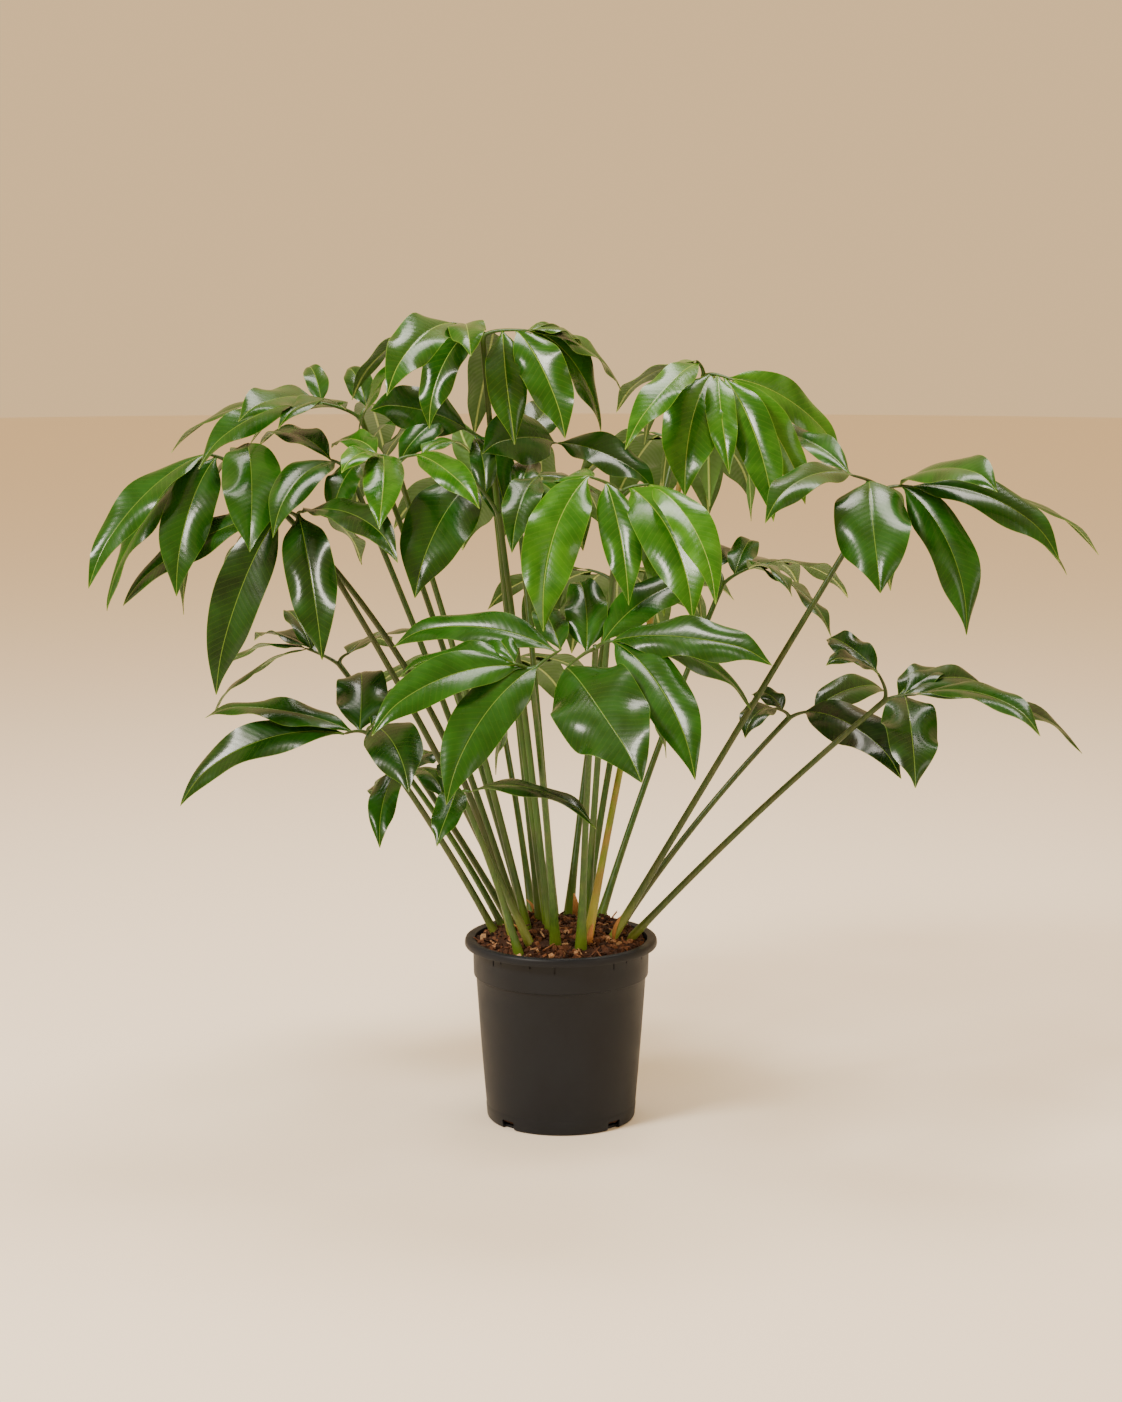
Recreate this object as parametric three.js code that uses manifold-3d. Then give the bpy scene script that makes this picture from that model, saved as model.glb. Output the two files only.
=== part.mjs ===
// A potted split-leaf philodendron: a black nursery pot, its coir soil, and 24 leaves.
// Each leaf is a long stalk that forks at its top into two arms, and leaflets hang from the arms.
// Millimetres, +Z up. The origin is the middle of the pot's underside, and -Y is the front.
import * as THREE from "three";
import { mergeVertices } from "three/addons/utils/BufferGeometryUtils.js";
import Module from "manifold-3d";

const wasm = await Module();
wasm.setup();

// ---- driving dimensions -------------------------------------------------------------------
const GAP = 0.3; // clearance where two pieces meet
const SLIVER = 0.05; // faces thinner than this are merged away after a join

const POT = {
  height: 230,
  rimRadius: 120,
  lipHeight: 11,
  lipWall: 3.2,
  bandTopRadius: 110,
  bandFootRadius: 109,
  bandFoot: 183, // height of the step under the upper band
  bodyTopRadius: 106,
  footRadius: 92.75,
  wall: 2.2,
  floor: 3,
  facets: 40,
};
const NOTCH = { width: 20, height: 11, depth: 14, firstAngle: 45, count: 4 };

const SOIL = { edge: 222, middle: 243, rings: 4, facets: 24, sunk: 24, clump: 2.5 };

const STALK = { footRadius: 6, topRadius: 3.6, sides: 6, steps: 6, neck: 12 };
const ARM = { startRadius: 3.2, endRadius: 1.7, sides: 5, steps: 4 };
const LEAFLET = {
  thickness: 1.5,
  stations: [0, 0.28, 0.68], // places along the midrib where a section stands
  widths: [0.03, 0.94, 0.82], // share of the full width at each station
  arch: 0.15, // how far the midrib bows out, as a share of the leaflet's length
};

// ---- the leaves -----------------------------------------------------------------------------
// foot: where the stalk leaves the soil. hub: where it forks. bow: how far the stalk bulges
// inwards. arms: where the two arms end, from the hub. faces: the way the upper sides look.
// leaflets: [arm, place along it, tip from the hub, width, how far it turns to face `faces`].
const LEFT = 0;
const RIGHT = 1;
const FRONT = [0, -1, 0.35];
const BACK = [0, 1, 0.5];
const BACK_LEFT = [-0.5, 0.8, 0.4];
const BACK_RIGHT = [0.5, 0.8, 0.4];

const LEAVES = [
  {
    name: "crown",
    foot: [-14, 4],
    hub: [-95, 0, 980],
    bow: -12,
    arms: [[-40, -30, 10], [60, -20, 0]],
    faces: FRONT,
    leaflets: [
      [RIGHT, 0.05, [-15, 140, -130], 44, 0.3],
      [RIGHT, 0.35, [40, -72, -126], 45, 0.9],
      [RIGHT, 0.7, [100, -78, -118], 52, 0.9],
      [RIGHT, 1, [145, 105, -120], 46, 0.8],
      [RIGHT, 0.9, [170, 110, -70], 40, 0.5],
      [RIGHT, 1, [120, 45, -15], 26, 0.3],
      [LEFT, 0.2, [-62, -60, -108], 42, 0.6],
      [LEFT, 0.5, [-10, -130, -20], 42, 0.7],
      [LEFT, 0.85, [-105, -180, -60], 52, 0.9],
      [LEFT, 1, [-155, 50, -120], 42, 0.5],
      [LEFT, 0.95, [-165, 90, -80], 36, 0.2],
    ],
  },
  {
    name: "upper_middle",
    foot: [-24, 28],
    hub: [-90, 60, 845],
    bow: 0,
    arms: [[-70, -10, 30], [90, -10, -5]],
    faces: FRONT,
    leaflets: [
      [RIGHT, 0.95, [-4, -100, -5], 66, 0.9],
      [RIGHT, 0.5, [80, 85, 35], 44, 0.8],
      [RIGHT, 1, [205, -60, -55], 50, 0.6],
      [RIGHT, 0.75, [70, 80, -90], 36, 0.5],
      [LEFT, 0.1, [20, -25, -115], 48, 0.9],
      [LEFT, 0.3, [-140, -70, 45], 54, 0.9],
      [LEFT, 0.6, [-150, 100, 0], 42, 0.3],
      [LEFT, 0.8, [-105, -95, -20], 36, 0.8],
      [LEFT, 1, [-135, 65, -35], 34, 0.3],
    ],
  },
  {
    name: "small_left",
    foot: [-38, 2],
    hub: [-200, -60, 830],
    bow: 14,
    arms: [[-20, -5, 5], [35, -5, 5]],
    faces: FRONT,
    leaflets: [
      [LEFT, 0.6, [-10, -125, -65], 46, 0.9],
      [LEFT, 1, [-80, 75, 12], 32, 0.5],
      [LEFT, 0.9, [-55, -90, -5], 30, 0.5],
      [RIGHT, 0.8, [105, -95, -45], 36, 0.7],
      [RIGHT, 1, [90, 90, 5], 28, 0.2],
    ],
  },
  {
    name: "inner_front",
    foot: [-12, -22],
    hub: [-75, -40, 765],
    bow: 4,
    arms: [[-30, -20, 40], [50, -20, 45]],
    faces: FRONT,
    leaflets: [
      [LEFT, 1, [-95, -135, -80], 74, 1],
      [LEFT, 0.5, [-30, 45, 88], 30, 0.6],
      [RIGHT, 0.5, [40, 90, 55], 32, 0.5],
      [RIGHT, 1, [18, -130, -30], 40, 0.8],
      [RIGHT, 0.9, [95, -125, -30], 40, 0.6],
      [RIGHT, 1, [120, 100, 0], 38, 0.3],
    ],
  },
  {
    name: "bright_middle",
    foot: [30, -4],
    hub: [70, -120, 800],
    bow: 10,
    arms: [[-40, -10, 15], [35, -10, 5]],
    faces: FRONT,
    leaflets: [
      [LEFT, 1, [-90, -115, -145], 62, 1],
      [LEFT, 0.4, [8, -90, -120], 44, 0.9],
      [RIGHT, 0.2, [80, -125, -130], 66, 1],
      [RIGHT, 1, [105, -145, -110], 44, 0.6],
      [RIGHT, 0.5, [55, 85, -155], 46, 0.8],
      [RIGHT, 0.8, [100, 55, -165], 42, 0.4],
      [LEFT, 0.8, [-85, 110, -25], 38, 0.4],
    ],
  },
  {
    name: "upper_right",
    foot: [30, -44],
    hub: [175, 20, 930],
    bow: 8,
    arms: [[-12, -22, 14], [34, -22, -10]],
    faces: FRONT,
    leaflets: [
      [LEFT, 0.5, [-105, 145, -50], 38, 0.2],
      [LEFT, 0.7, [-100, -155, -75], 40, 0.5],
      [LEFT, 1, [-70, 130, -90], 36, 0.4],
      [LEFT, 0.9, [-48, 80, -140], 40, 0.5],
      [RIGHT, 0.05, [-28, -110, -135], 64, 1],
      [RIGHT, 0.4, [25, -105, -110], 34, 0.3],
      [RIGHT, 0.2, [12, 90, -165], 42, 0.5],
      [RIGHT, 0.7, [62, 55, -180], 42, 0.5],
      [RIGHT, 0.65, [78, -100, -165], 48, 0.9],
      [RIGHT, 1, [120, -50, -150], 44, 0.8],
      [RIGHT, 0.85, [172, 50, -105], 46, 0.7],
    ],
  },
  {
    name: "far_right",
    foot: [54, -34],
    hub: [390, -30, 795],
    bow: 0,
    arms: [[-45, -20, 15], [36, -20, 0]],
    faces: FRONT,
    leaflets: [
      [LEFT, 0.4, [-18, -140, -105], 84, 1],
      [RIGHT, 0.4, [112, -160, 15], 56, 0.4],
      [RIGHT, 0.85, [195, -110, -70], 48, 0.6],
      [RIGHT, 0.55, [90, -95, -160], 55, 0.9],
      [RIGHT, 1, [265, 20, -75], 40, 0.2],
      [RIGHT, 0.95, [235, 65, -105], 38, 0.3],
      [RIGHT, 0.1, [25, 130, -135], 42, 0.4],
      [LEFT, 1, [-150, 130, 55], 38, 0.4],
      [LEFT, 0.95, [-155, -165, -20], 42, 0.5],
      [LEFT, 0.85, [-125, 145, -40], 38, 0.2],
    ],
  },
  {
    name: "low_right",
    foot: [76, -16],
    hub: [395, -80, 545],
    bow: 12,
    arms: [[-15, 10, 30], [32, -20, 6]],
    faces: FRONT,
    leaflets: [
      [LEFT, 1, [-68, 100, 60], 36, 0.6],
      [LEFT, 0.85, [-82, -60, 52], 26, 0.3],
      [RIGHT, 0.2, [78, 75, 22], 36, 0.4],
      [RIGHT, 0.4, [130, 72, 2], 42, 0.4],
      [RIGHT, 0.75, [235, 5, -60], 42, 0.2],
      [RIGHT, 1, [155, -165, -10], 40, 0.3],
      [RIGHT, 0.5, [15, -150, -75], 60, 1],
    ],
  },
  {
    name: "low_right_inner",
    foot: [62, 16],
    hub: [290, 60, 500],
    bow: 16,
    arms: [[-25, -10, 10], [26, -10, 6]],
    faces: FRONT,
    leaflets: [
      [RIGHT, 0.5, [120, -150, -45], 56, 0.8],
      [RIGHT, 1, [125, 85, 22], 42, 0.5],
      [LEFT, 0.5, [-48, 50, 20], 26, 0.3],
      [LEFT, 1, [-65, -90, -10], 34, 0.5],
    ],
  },
  {
    name: "back_right",
    foot: [42, 36],
    hub: [210, 180, 655],
    bow: 14,
    arms: [[-8, 20, 12], [36, 6, 16]],
    faces: BACK_RIGHT,
    leaflets: [
      [LEFT, 1, [-22, 135, 40], 50, 0.3],
      [LEFT, 0.5, [-70, 110, -20], 44, 0.4],
      [RIGHT, 0.3, [42, 90, 45], 34, 0.3],
      [RIGHT, 1, [172, 125, -30], 42, 0.2],
      [RIGHT, 0.7, [110, 175, -20], 48, 0.4],
      [RIGHT, 0.9, [78, -120, 0], 36, 0.3],
      [RIGHT, 1, [128, -115, -50], 38, 0.3],
    ],
  },
  {
    name: "upper_left",
    foot: [-40, 46],
    hub: [-250, 80, 875],
    bow: 16,
    arms: [[-50, -20, 15], [14, 22, 10]],
    faces: FRONT,
    leaflets: [
      [LEFT, 1, [-130, -180, 10], 50, 0.6],
      [LEFT, 0.9, [-185, -125, -50], 44, 0.4],
      [LEFT, 1, [-235, 5, -40], 40, 0.2],
      [LEFT, 0.3, [-150, 120, -40], 42, 0.3],
      [LEFT, 0.2, [-85, -165, 0], 38, 0.2],
      [LEFT, 0.95, [-68, 50, 58], 26, 0.4],
      [RIGHT, 0.6, [-20, 80, 55], 32, 0.6],
      [RIGHT, 1, [20, 190, -60], 46, 0.3],
    ],
  },
  {
    name: "middle_left",
    foot: [-46, 24],
    hub: [-260, 0, 815],
    bow: 16,
    arms: [[-20, -10, 10], [15, -10, 5]],
    faces: FRONT,
    leaflets: [
      [LEFT, 1, [-120, 140, 25], 40, 0.3],
      [LEFT, 0.6, [-75, -165, -60], 44, 0.7],
      [RIGHT, 1, [-12, -80, -50], 36, 0.6],
      [RIGHT, 0.4, [0, 140, -60], 42, 0.3],
    ],
  },
  {
    name: "left",
    foot: [-32, -58],
    hub: [-318, -60, 765],
    bow: 20,
    arms: [[-16, -12, 2], [12, -12, 2]],
    faces: FRONT,
    leaflets: [
      [LEFT, 1, [-95, -35, -205], 56, 0.9],
      [RIGHT, 0.1, [38, -100, -155], 56, 1],
      [RIGHT, 1, [130, -145, -35], 44, 0.5],
      [LEFT, 0.8, [-125, 120, -50], 48, 0.6],
      [LEFT, 0.9, [-115, 100, -120], 42, 0.5],
      [LEFT, 0.95, [-220, 70, -110], 46, 0.6],
      [RIGHT, 0.7, [70, 130, -70], 44, 0.4],
    ],
  },
  {
    name: "far_left",
    foot: [-58, -16],
    hub: [-410, 10, 825],
    bow: 105,
    arms: [[-22, -12, 6], [32, -22, 20]],
    faces: FRONT,
    leaflets: [
      [LEFT, 0.35, [-50, -90, -150], 56, 1],
      [LEFT, 1, [-150, -120, -135], 44, 0.4],
      [LEFT, 0.9, [-145, -20, -175], 42, 0.4],
      [LEFT, 0.75, [-150, 60, -165], 40, 0.3],
      [RIGHT, 1, [45, -150, -90], 68, 1],
      [RIGHT, 0.45, [-62, 60, -190], 42, 0.4],
      [RIGHT, 0.6, [20, 155, -70], 44, 0.3],
    ],
  },
  {
    name: "back_left",
    foot: [-56, 56],
    hub: [-290, 180, 550],
    bow: 14,
    arms: [[-42, 6, 16], [18, 6, 10]],
    faces: BACK_LEFT,
    leaflets: [
      [LEFT, 0.6, [-115, 85, 20], 40, 0.2],
      [LEFT, 1, [-155, 70, -15], 38, 0.2],
      [LEFT, 0.95, [-158, -25, -60], 36, 0.2],
      [LEFT, 0.8, [-74, 70, 60], 30, 0.5],
      [RIGHT, 1, [135, 60, 30], 36, 0.1],
      [RIGHT, 0.8, [65, 130, 5], 42, 0.3],
    ],
  },
  {
    name: "low_left",
    foot: [-76, 8],
    hub: [-240, -20, 495],
    bow: 10,
    arms: [[-26, -12, -4], [12, -12, 6]],
    faces: FRONT,
    leaflets: [
      [LEFT, 0.15, [-12, 105, 60], 60, 0.7],
      [LEFT, 0.6, [-200, 30, 18], 44, 0.3],
      [LEFT, 1, [-225, -30, -80], 50, 0.5],
      [RIGHT, 1, [60, -135, -45], 62, 0.8],
      [RIGHT, 0.6, [60, 130, 20], 42, 0.3],
    ],
  },
  {
    name: "low_left_inner",
    foot: [-66, 30],
    hub: [-195, 60, 425],
    bow: 10,
    arms: [[-16, -2, 2], [12, -2, 6]],
    faces: FRONT,
    leaflets: [
      [LEFT, 1, [-45, 70, -45], 36, 0.6],
      [LEFT, 0.6, [-28, -95, -70], 34, 0.5],
      [RIGHT, 1, [52, -85, -15], 34, 0.4],
      [RIGHT, 0.5, [30, 90, 10], 36, 0.4],
    ],
  },
  {
    name: "lowest_front",
    foot: [-50, -74],
    hub: [-120, -130, 440],
    bow: 8,
    arms: [[-6, -2, 6], [12, -8, 0]],
    faces: FRONT,
    leaflets: [
      [RIGHT, 1, [160, -140, -8], 36, 0.2],
      [LEFT, 0.5, [-25, -85, -45], 34, 0.6],
      [LEFT, 1, [-8, 78, 22], 36, 0.6],
    ],
  },
  {
    name: "front_left",
    foot: [-6, -56],
    hub: [-35, -260, 605],
    bow: 26,
    arms: [[-18, -16, 10], [36, 12, 22]],
    faces: FRONT,
    leaflets: [
      [LEFT, 0.4, [-175, -95, -50], 50, 0.7],
      [RIGHT, 0.1, [-92, -110, -125], 58, 0.9],
      [RIGHT, 0.9, [-160, 75, 25], 46, 0.5],
      [LEFT, 0.85, [-150, 25, -5], 44, 0.4],
      [LEFT, 1, [-45, 50, 35], 26, 0.4],
      [RIGHT, 1, [10, 105, 58], 36, 0.6],
      [LEFT, 0.1, [-42, 85, -130], 44, 0.6],
    ],
  },
  {
    name: "front_right",
    foot: [24, -66],
    hub: [40, -230, 630],
    bow: 24,
    arms: [[-35, -20, -25], [22, -12, 6]],
    faces: FRONT,
    leaflets: [
      [LEFT, 0.2, [-20, 100, 66], 48, 0.8],
      [RIGHT, 0.2, [135, 115, 62], 46, 0.5],
      [RIGHT, 0.85, [195, -100, 0], 52, 0.6],
      [LEFT, 1, [48, -190, -115], 92, 1],
      [RIGHT, 0.9, [108, -150, -120], 56, 0.8],
      [RIGHT, 0.95, [85, 90, -140], 46, 0.6],
      [RIGHT, 1, [142, 110, -45], 44, 0.4],
      [RIGHT, 0.8, [182, 45, -75], 44, 0.5],
    ],
  },
  {
    name: "back_inner",
    foot: [-8, 46],
    hub: [-60, 265, 770],
    bow: 26,
    arms: [[-40, 14, 14], [42, 18, 10]],
    faces: BACK,
    leaflets: [
      [LEFT, 1, [-165, 95, -60], 46, 0.4],
      [LEFT, 0.8, [-130, 150, -75], 52, 0.7],
      [LEFT, 0.5, [-75, 165, -95], 56, 0.9],
      [LEFT, 0.1, [-20, 175, -80], 58, 0.9],
      [RIGHT, 0.4, [40, 165, -105], 56, 0.9],
      [RIGHT, 0.75, [90, 150, -95], 50, 0.8],
      [RIGHT, 1, [135, 100, -85], 44, 0.5],
      [LEFT, 0.7, [-75, 30, 90], 36, 0.5],
    ],
  },
  {
    name: "back_middle",
    foot: [8, 74],
    hub: [70, 330, 640],
    bow: 24,
    arms: [[-38, 16, 10], [38, 16, 12]],
    faces: BACK,
    leaflets: [
      [LEFT, 1, [-170, 70, -45], 44, 0.4],
      [LEFT, 0.75, [-120, 125, -90], 52, 0.8],
      [LEFT, 0.4, [-55, 145, -115], 56, 0.9],
      [RIGHT, 0.1, [15, 155, -105], 60, 1],
      [RIGHT, 0.5, [70, 145, -100], 54, 0.9],
      [RIGHT, 0.8, [130, 110, -75], 46, 0.7],
      [RIGHT, 1, [165, 50, -30], 42, 0.3],
    ],
  },
  {
    name: "back_upper",
    foot: [28, 58],
    hub: [150, 230, 830],
    bow: 24,
    arms: [[-34, 20, 10], [36, 14, 12]],
    faces: BACK,
    leaflets: [
      [LEFT, 1, [-130, 110, -65], 44, 0.5],
      [LEFT, 0.7, [-80, 150, -95], 52, 0.8],
      [LEFT, 0.2, [-20, 170, -100], 58, 1],
      [RIGHT, 0.4, [50, 160, -105], 56, 0.9],
      [RIGHT, 0.75, [105, 135, -85], 50, 0.7],
      [RIGHT, 1, [165, 85, -50], 44, 0.4],
    ],
  },
  {
    name: "back_low",
    foot: [-34, 76],
    hub: [-95, 345, 520],
    bow: 26,
    arms: [[-36, 14, 10], [36, 16, 8]],
    faces: BACK,
    leaflets: [
      [LEFT, 1, [-165, 45, -40], 42, 0.3],
      [LEFT, 0.7, [-115, 110, -75], 50, 0.8],
      [LEFT, 0.2, [-40, 140, -100], 56, 0.9],
      [RIGHT, 0.4, [35, 140, -95], 56, 0.9],
      [RIGHT, 0.8, [100, 110, -70], 48, 0.6],
      [RIGHT, 1, [140, 45, -25], 40, 0.3],
    ],
  },
];

// ---- materials ------------------------------------------------------------------------------
const MATERIALS = {
  leaf: new THREE.MeshStandardMaterial({ color: 0x3b6b22, roughness: 0.32 }),
  brightLeaf: new THREE.MeshStandardMaterial({ color: 0x6b9a20, roughness: 0.32 }),
  stalk: new THREE.MeshStandardMaterial({ color: 0x55702c, roughness: 0.5 }),
  pot: new THREE.MeshStandardMaterial({ color: 0x2b2b2d, roughness: 0.6 }),
  soil: new THREE.MeshStandardMaterial({ color: 0x5b3524, roughness: 0.95 }),
};
const BRIGHT_LEAVES = new Set(["crown", "bright_middle", "upper_right", "small_left"]);

// ---- solids ---------------------------------------------------------------------------------
// A closed geometry as a solid, with its shared vertices merged.
function solidOf(geometry) {
  const bare = geometry.index ? geometry.toNonIndexed() : geometry.clone();
  bare.deleteAttribute("normal");
  bare.deleteAttribute("uv");
  const merged = mergeVertices(bare, 1e-4);
  return new wasm.Manifold(
    new wasm.Mesh({
      numProp: 3,
      vertProperties: new Float32Array(merged.attributes.position.array),
      triVerts: new Uint32Array(merged.index.array),
    }),
  );
}

// A solid as a geometry, without the slivers that joins leave.
function geometryOf(solid) {
  const mesh = solid.asOriginal().simplify(SLIVER).getMesh();
  const positions = [];
  for (let i = 0; i < mesh.numVert; i++) {
    positions.push(...mesh.vertProperties.slice(i * mesh.numProp, i * mesh.numProp + 3));
  }
  const geometry = new THREE.BufferGeometry();
  geometry.setAttribute("position", new THREE.Float32BufferAttribute(positions, 3));
  geometry.setIndex([...mesh.triVerts]);
  geometry.computeVertexNormals();
  return geometry;
}

// A tube along a curve whose radius goes evenly from one end to the other.
function taperedTube(curve, startRadius, endRadius, sides, steps) {
  const section = new THREE.Shape();
  for (let i = 0; i < sides; i++) {
    const angle = (i / sides) * 2 * Math.PI;
    const x = startRadius * Math.cos(angle);
    const y = startRadius * Math.sin(angle);
    if (i === 0) section.moveTo(x, y);
    else section.lineTo(x, y);
  }
  section.closePath();
  const geometry = new THREE.ExtrudeGeometry(section, { steps, extrudePath: curve });
  const spine = curve.getSpacedPoints(steps);
  const position = geometry.attributes.position;
  const point = new THREE.Vector3();
  for (let i = 0; i < position.count; i++) {
    point.fromBufferAttribute(position, i);
    const distances = spine.map((p) => p.distanceTo(point));
    const nearest = distances.indexOf(Math.min(...distances));
    const share = nearest / steps;
    const radius = startRadius + (endRadius - startRadius) * share;
    point.sub(spine[nearest]).multiplyScalar(radius / startRadius).add(spine[nearest]);
    position.setXYZ(i, point.x, point.y, point.z);
  }
  return geometry;
}

// A closed loft through rings of equal length that ends in one point.
function loft(rings, tip) {
  const positions = [];
  const index = [];
  const count = rings[0].length;
  for (const ring of rings) for (const point of ring) positions.push(...point.toArray());
  positions.push(...tip.toArray());
  for (let k = 1; k < count - 1; k++) index.push(0, k + 1, k);
  for (let r = 0; r < rings.length - 1; r++) {
    for (let k = 0; k < count; k++) {
      const next = (k + 1) % count;
      const a = r * count + k;
      const b = r * count + next;
      const c = a + count;
      const d = b + count;
      index.push(a, b, d, a, d, c);
    }
  }
  const last = (rings.length - 1) * count;
  for (let k = 0; k < count; k++) index.push(last + k, last + ((k + 1) % count), rings.length * count);
  const geometry = new THREE.BufferGeometry();
  geometry.setAttribute("position", new THREE.Float32BufferAttribute(positions, 3));
  geometry.setIndex(index);
  return geometry;
}

// ---- the pot and the soil -------------------------------------------------------------------
function potSolid() {
  const p = POT;
  const lipFoot = p.height - p.lipHeight;
  const profile = [
    [0, 0],
    [p.footRadius - 1.5, 0],
    [p.footRadius, 1.5],
    [p.bodyTopRadius, p.bandFoot],
    [p.bandFootRadius, p.bandFoot + 1],
    [p.bandTopRadius, lipFoot],
    [p.rimRadius - 1.5, lipFoot],
    [p.rimRadius, lipFoot + 2],
    [p.rimRadius, p.height - 3],
    [p.rimRadius - 3, p.height],
    [p.bandTopRadius - p.lipWall + 1, p.height],
    [p.bandTopRadius - p.lipWall, lipFoot],
    [p.bandFootRadius - p.lipWall, p.bandFoot],
    [p.footRadius - p.wall, p.floor],
    [0, p.floor],
  ].map(([r, z]) => new THREE.Vector2(r, z));
  const shell = new THREE.LatheGeometry(profile, p.facets);
  shell.rotateX(Math.PI / 2);
  let solid = solidOf(shell);
  for (let i = 0; i < NOTCH.count; i++) {
    const box = new THREE.BoxGeometry(NOTCH.depth, NOTCH.width, NOTCH.height * 2);
    box.translate(POT.footRadius, 0, 0);
    box.rotateZ(THREE.MathUtils.degToRad(NOTCH.firstAngle + (i * 360) / NOTCH.count));
    solid = solid.subtract(solidOf(box));
  }
  return solid;
}

function innerRadiusAt(z) {
  const p = POT;
  const lower = (z - p.floor) / (p.bandFoot - p.floor);
  if (lower < 1) {
    return p.footRadius - p.wall + lower * (p.bandFootRadius - p.lipWall - p.footRadius + p.wall);
  }
  const upper = (z - p.bandFoot) / (p.height - p.lipHeight - p.bandFoot);
  return p.bandFootRadius - p.lipWall + Math.min(upper, 1) * (p.bandTopRadius - p.bandFootRadius);
}

function soilSolid(feet) {
  const foot = POT.floor + GAP;
  const rim = SOIL.edge;
  const clear = 0.6; // the facets of the soil and the pot stay apart
  const profile = [
    [0, foot],
    [innerRadiusAt(foot) - clear, foot],
    [innerRadiusAt(POT.bandFoot) - clear, POT.bandFoot],
    [innerRadiusAt(rim) - clear, rim],
  ];
  for (let i = 1; i < SOIL.rings; i++) {
    const share = 1 - i / SOIL.rings;
    const radius = share * (innerRadiusAt(rim) - clear);
    const rise = (SOIL.middle - rim) * (1 - share * share);
    profile.push([radius, rim + rise]);
  }
  profile.push([0, SOIL.middle]);
  const shape = profile.map(([r, z]) => new THREE.Vector2(r, z));
  const mound = new THREE.LatheGeometry(shape, SOIL.facets);
  mound.rotateX(Math.PI / 2);
  const position = mound.attributes.position;
  for (let i = 0; i < position.count; i++) {
    const x = position.getX(i);
    const y = position.getY(i);
    const z = position.getZ(i);
    if (z <= rim + 1) continue;
    const lump = SOIL.clump * (Math.sin(x / 13) * Math.cos(y / 17) + y / 40);
    position.setZ(i, z + lump);
  }
  let solid = solidOf(mound);
  for (const foot of feet) solid = solid.subtract(foot);
  return solid;
}

// ---- one leaf -------------------------------------------------------------------------------
const UP = new THREE.Vector3(0, 0, 1);

function vector(list) {
  return new THREE.Vector3(...list);
}

// The stalk's line from under the soil to its top, `short` of the hub.
function stalkCurve(leaf, short) {
  const foot = new THREE.Vector3(leaf.foot[0], leaf.foot[1], SOIL.middle - SOIL.sunk);
  const hub = vector(leaf.hub);
  const outward = new THREE.Vector3(hub.x - foot.x, hub.y - foot.y, 0).normalize();
  const middle = foot.clone().lerp(hub, 0.5);
  middle.addScaledVector(outward, -leaf.bow).addScaledVector(UP, leaf.bow * 0.6);
  const whole = new THREE.QuadraticBezierCurve3(foot, middle, hub);
  const direction = whole.getTangent(1);
  const top = hub.clone().addScaledVector(direction, -short);
  const bend = middle.clone().addScaledVector(direction, -short / 2);
  return new THREE.QuadraticBezierCurve3(foot, bend, top);
}

function stalkSolid(leaf, grow) {
  const curve = stalkCurve(leaf, STALK.neck + GAP);
  const { footRadius, topRadius, sides, steps } = STALK;
  return solidOf(taperedTube(curve, footRadius + grow, topRadius + grow, sides, steps));
}

function armCurve(leaf, side) {
  const hub = vector(leaf.hub);
  const end = hub.clone().add(vector(leaf.arms[side]));
  const rise = stalkCurve(leaf, STALK.neck).getTangent(1);
  const start = hub.clone().addScaledVector(rise, -STALK.neck);
  return new THREE.QuadraticBezierCurve3(start, hub.clone().addScaledVector(rise, 4), end);
}

// Where a leaflet leaves its arm: the arm's curve past its neck, from 0 to 1.
function armPoint(leaf, side, place) {
  return armCurve(leaf, side).getPoint(0.45 + 0.53 * place);
}

function leafletSolid(leaf, row) {
  const [side, place, tipFromHub, width, turn] = row;
  const base = armPoint(leaf, side, place);
  const tip = vector(leaf.hub).add(vector(tipFromHub));
  const chord = tip.clone().sub(base);
  const length = chord.length();
  const along = chord.clone().normalize();
  const outward = new THREE.Vector3(chord.x, chord.y, 0).normalize();
  const lift = UP.clone().multiplyScalar(0.8).addScaledVector(outward, 0.6);
  const bulge = lift.clone().addScaledVector(along, -lift.dot(along)).normalize();
  const middle = new THREE.CubicBezierCurve3(
    base,
    base.clone().addScaledVector(chord, 0.3).addScaledVector(bulge, LEAFLET.arch * length),
    base.clone().addScaledVector(chord, 0.75).addScaledVector(bulge, LEAFLET.arch * 0.8 * length),
    tip,
  );
  const facing = lift.clone().multiplyScalar(1 - turn).addScaledVector(vector(leaf.faces), turn);
  const lead = along.clone().cross(facing).normalize();
  const rings = LEAFLET.stations.map((station, i) => {
    const centre = middle.getPoint(station);
    const tangent = middle.getTangent(station);
    const across = lead.clone().addScaledVector(tangent, -lead.dot(tangent)).normalize();
    const normal = across.clone().cross(tangent);
    const half = (width / 2) * LEAFLET.widths[i];
    const thick = LEAFLET.thickness / 2;
    return [
      centre.clone().addScaledVector(across, half),
      centre.clone().addScaledVector(normal, -thick),
      centre.clone().addScaledVector(across, -half),
      centre.clone().addScaledVector(normal, thick),
    ];
  });
  return solidOf(loft(rings, tip));
}

function bladeSolid(leaf) {
  const { startRadius, endRadius, sides, steps } = ARM;
  let solid = null;
  for (const side of [LEFT, RIGHT]) {
    const arm = solidOf(taperedTube(armCurve(leaf, side), startRadius, endRadius, sides, steps));
    solid = solid ? solid.add(arm) : arm;
  }
  for (const row of leaf.leaflets) solid = solid.add(leafletSolid(leaf, row));
  return solid;
}

// ---- the whole plant ------------------------------------------------------------------------
function piece(name, solid, material) {
  const mesh = new THREE.Mesh(geometryOf(solid), material);
  mesh.name = name;
  return mesh;
}

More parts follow.
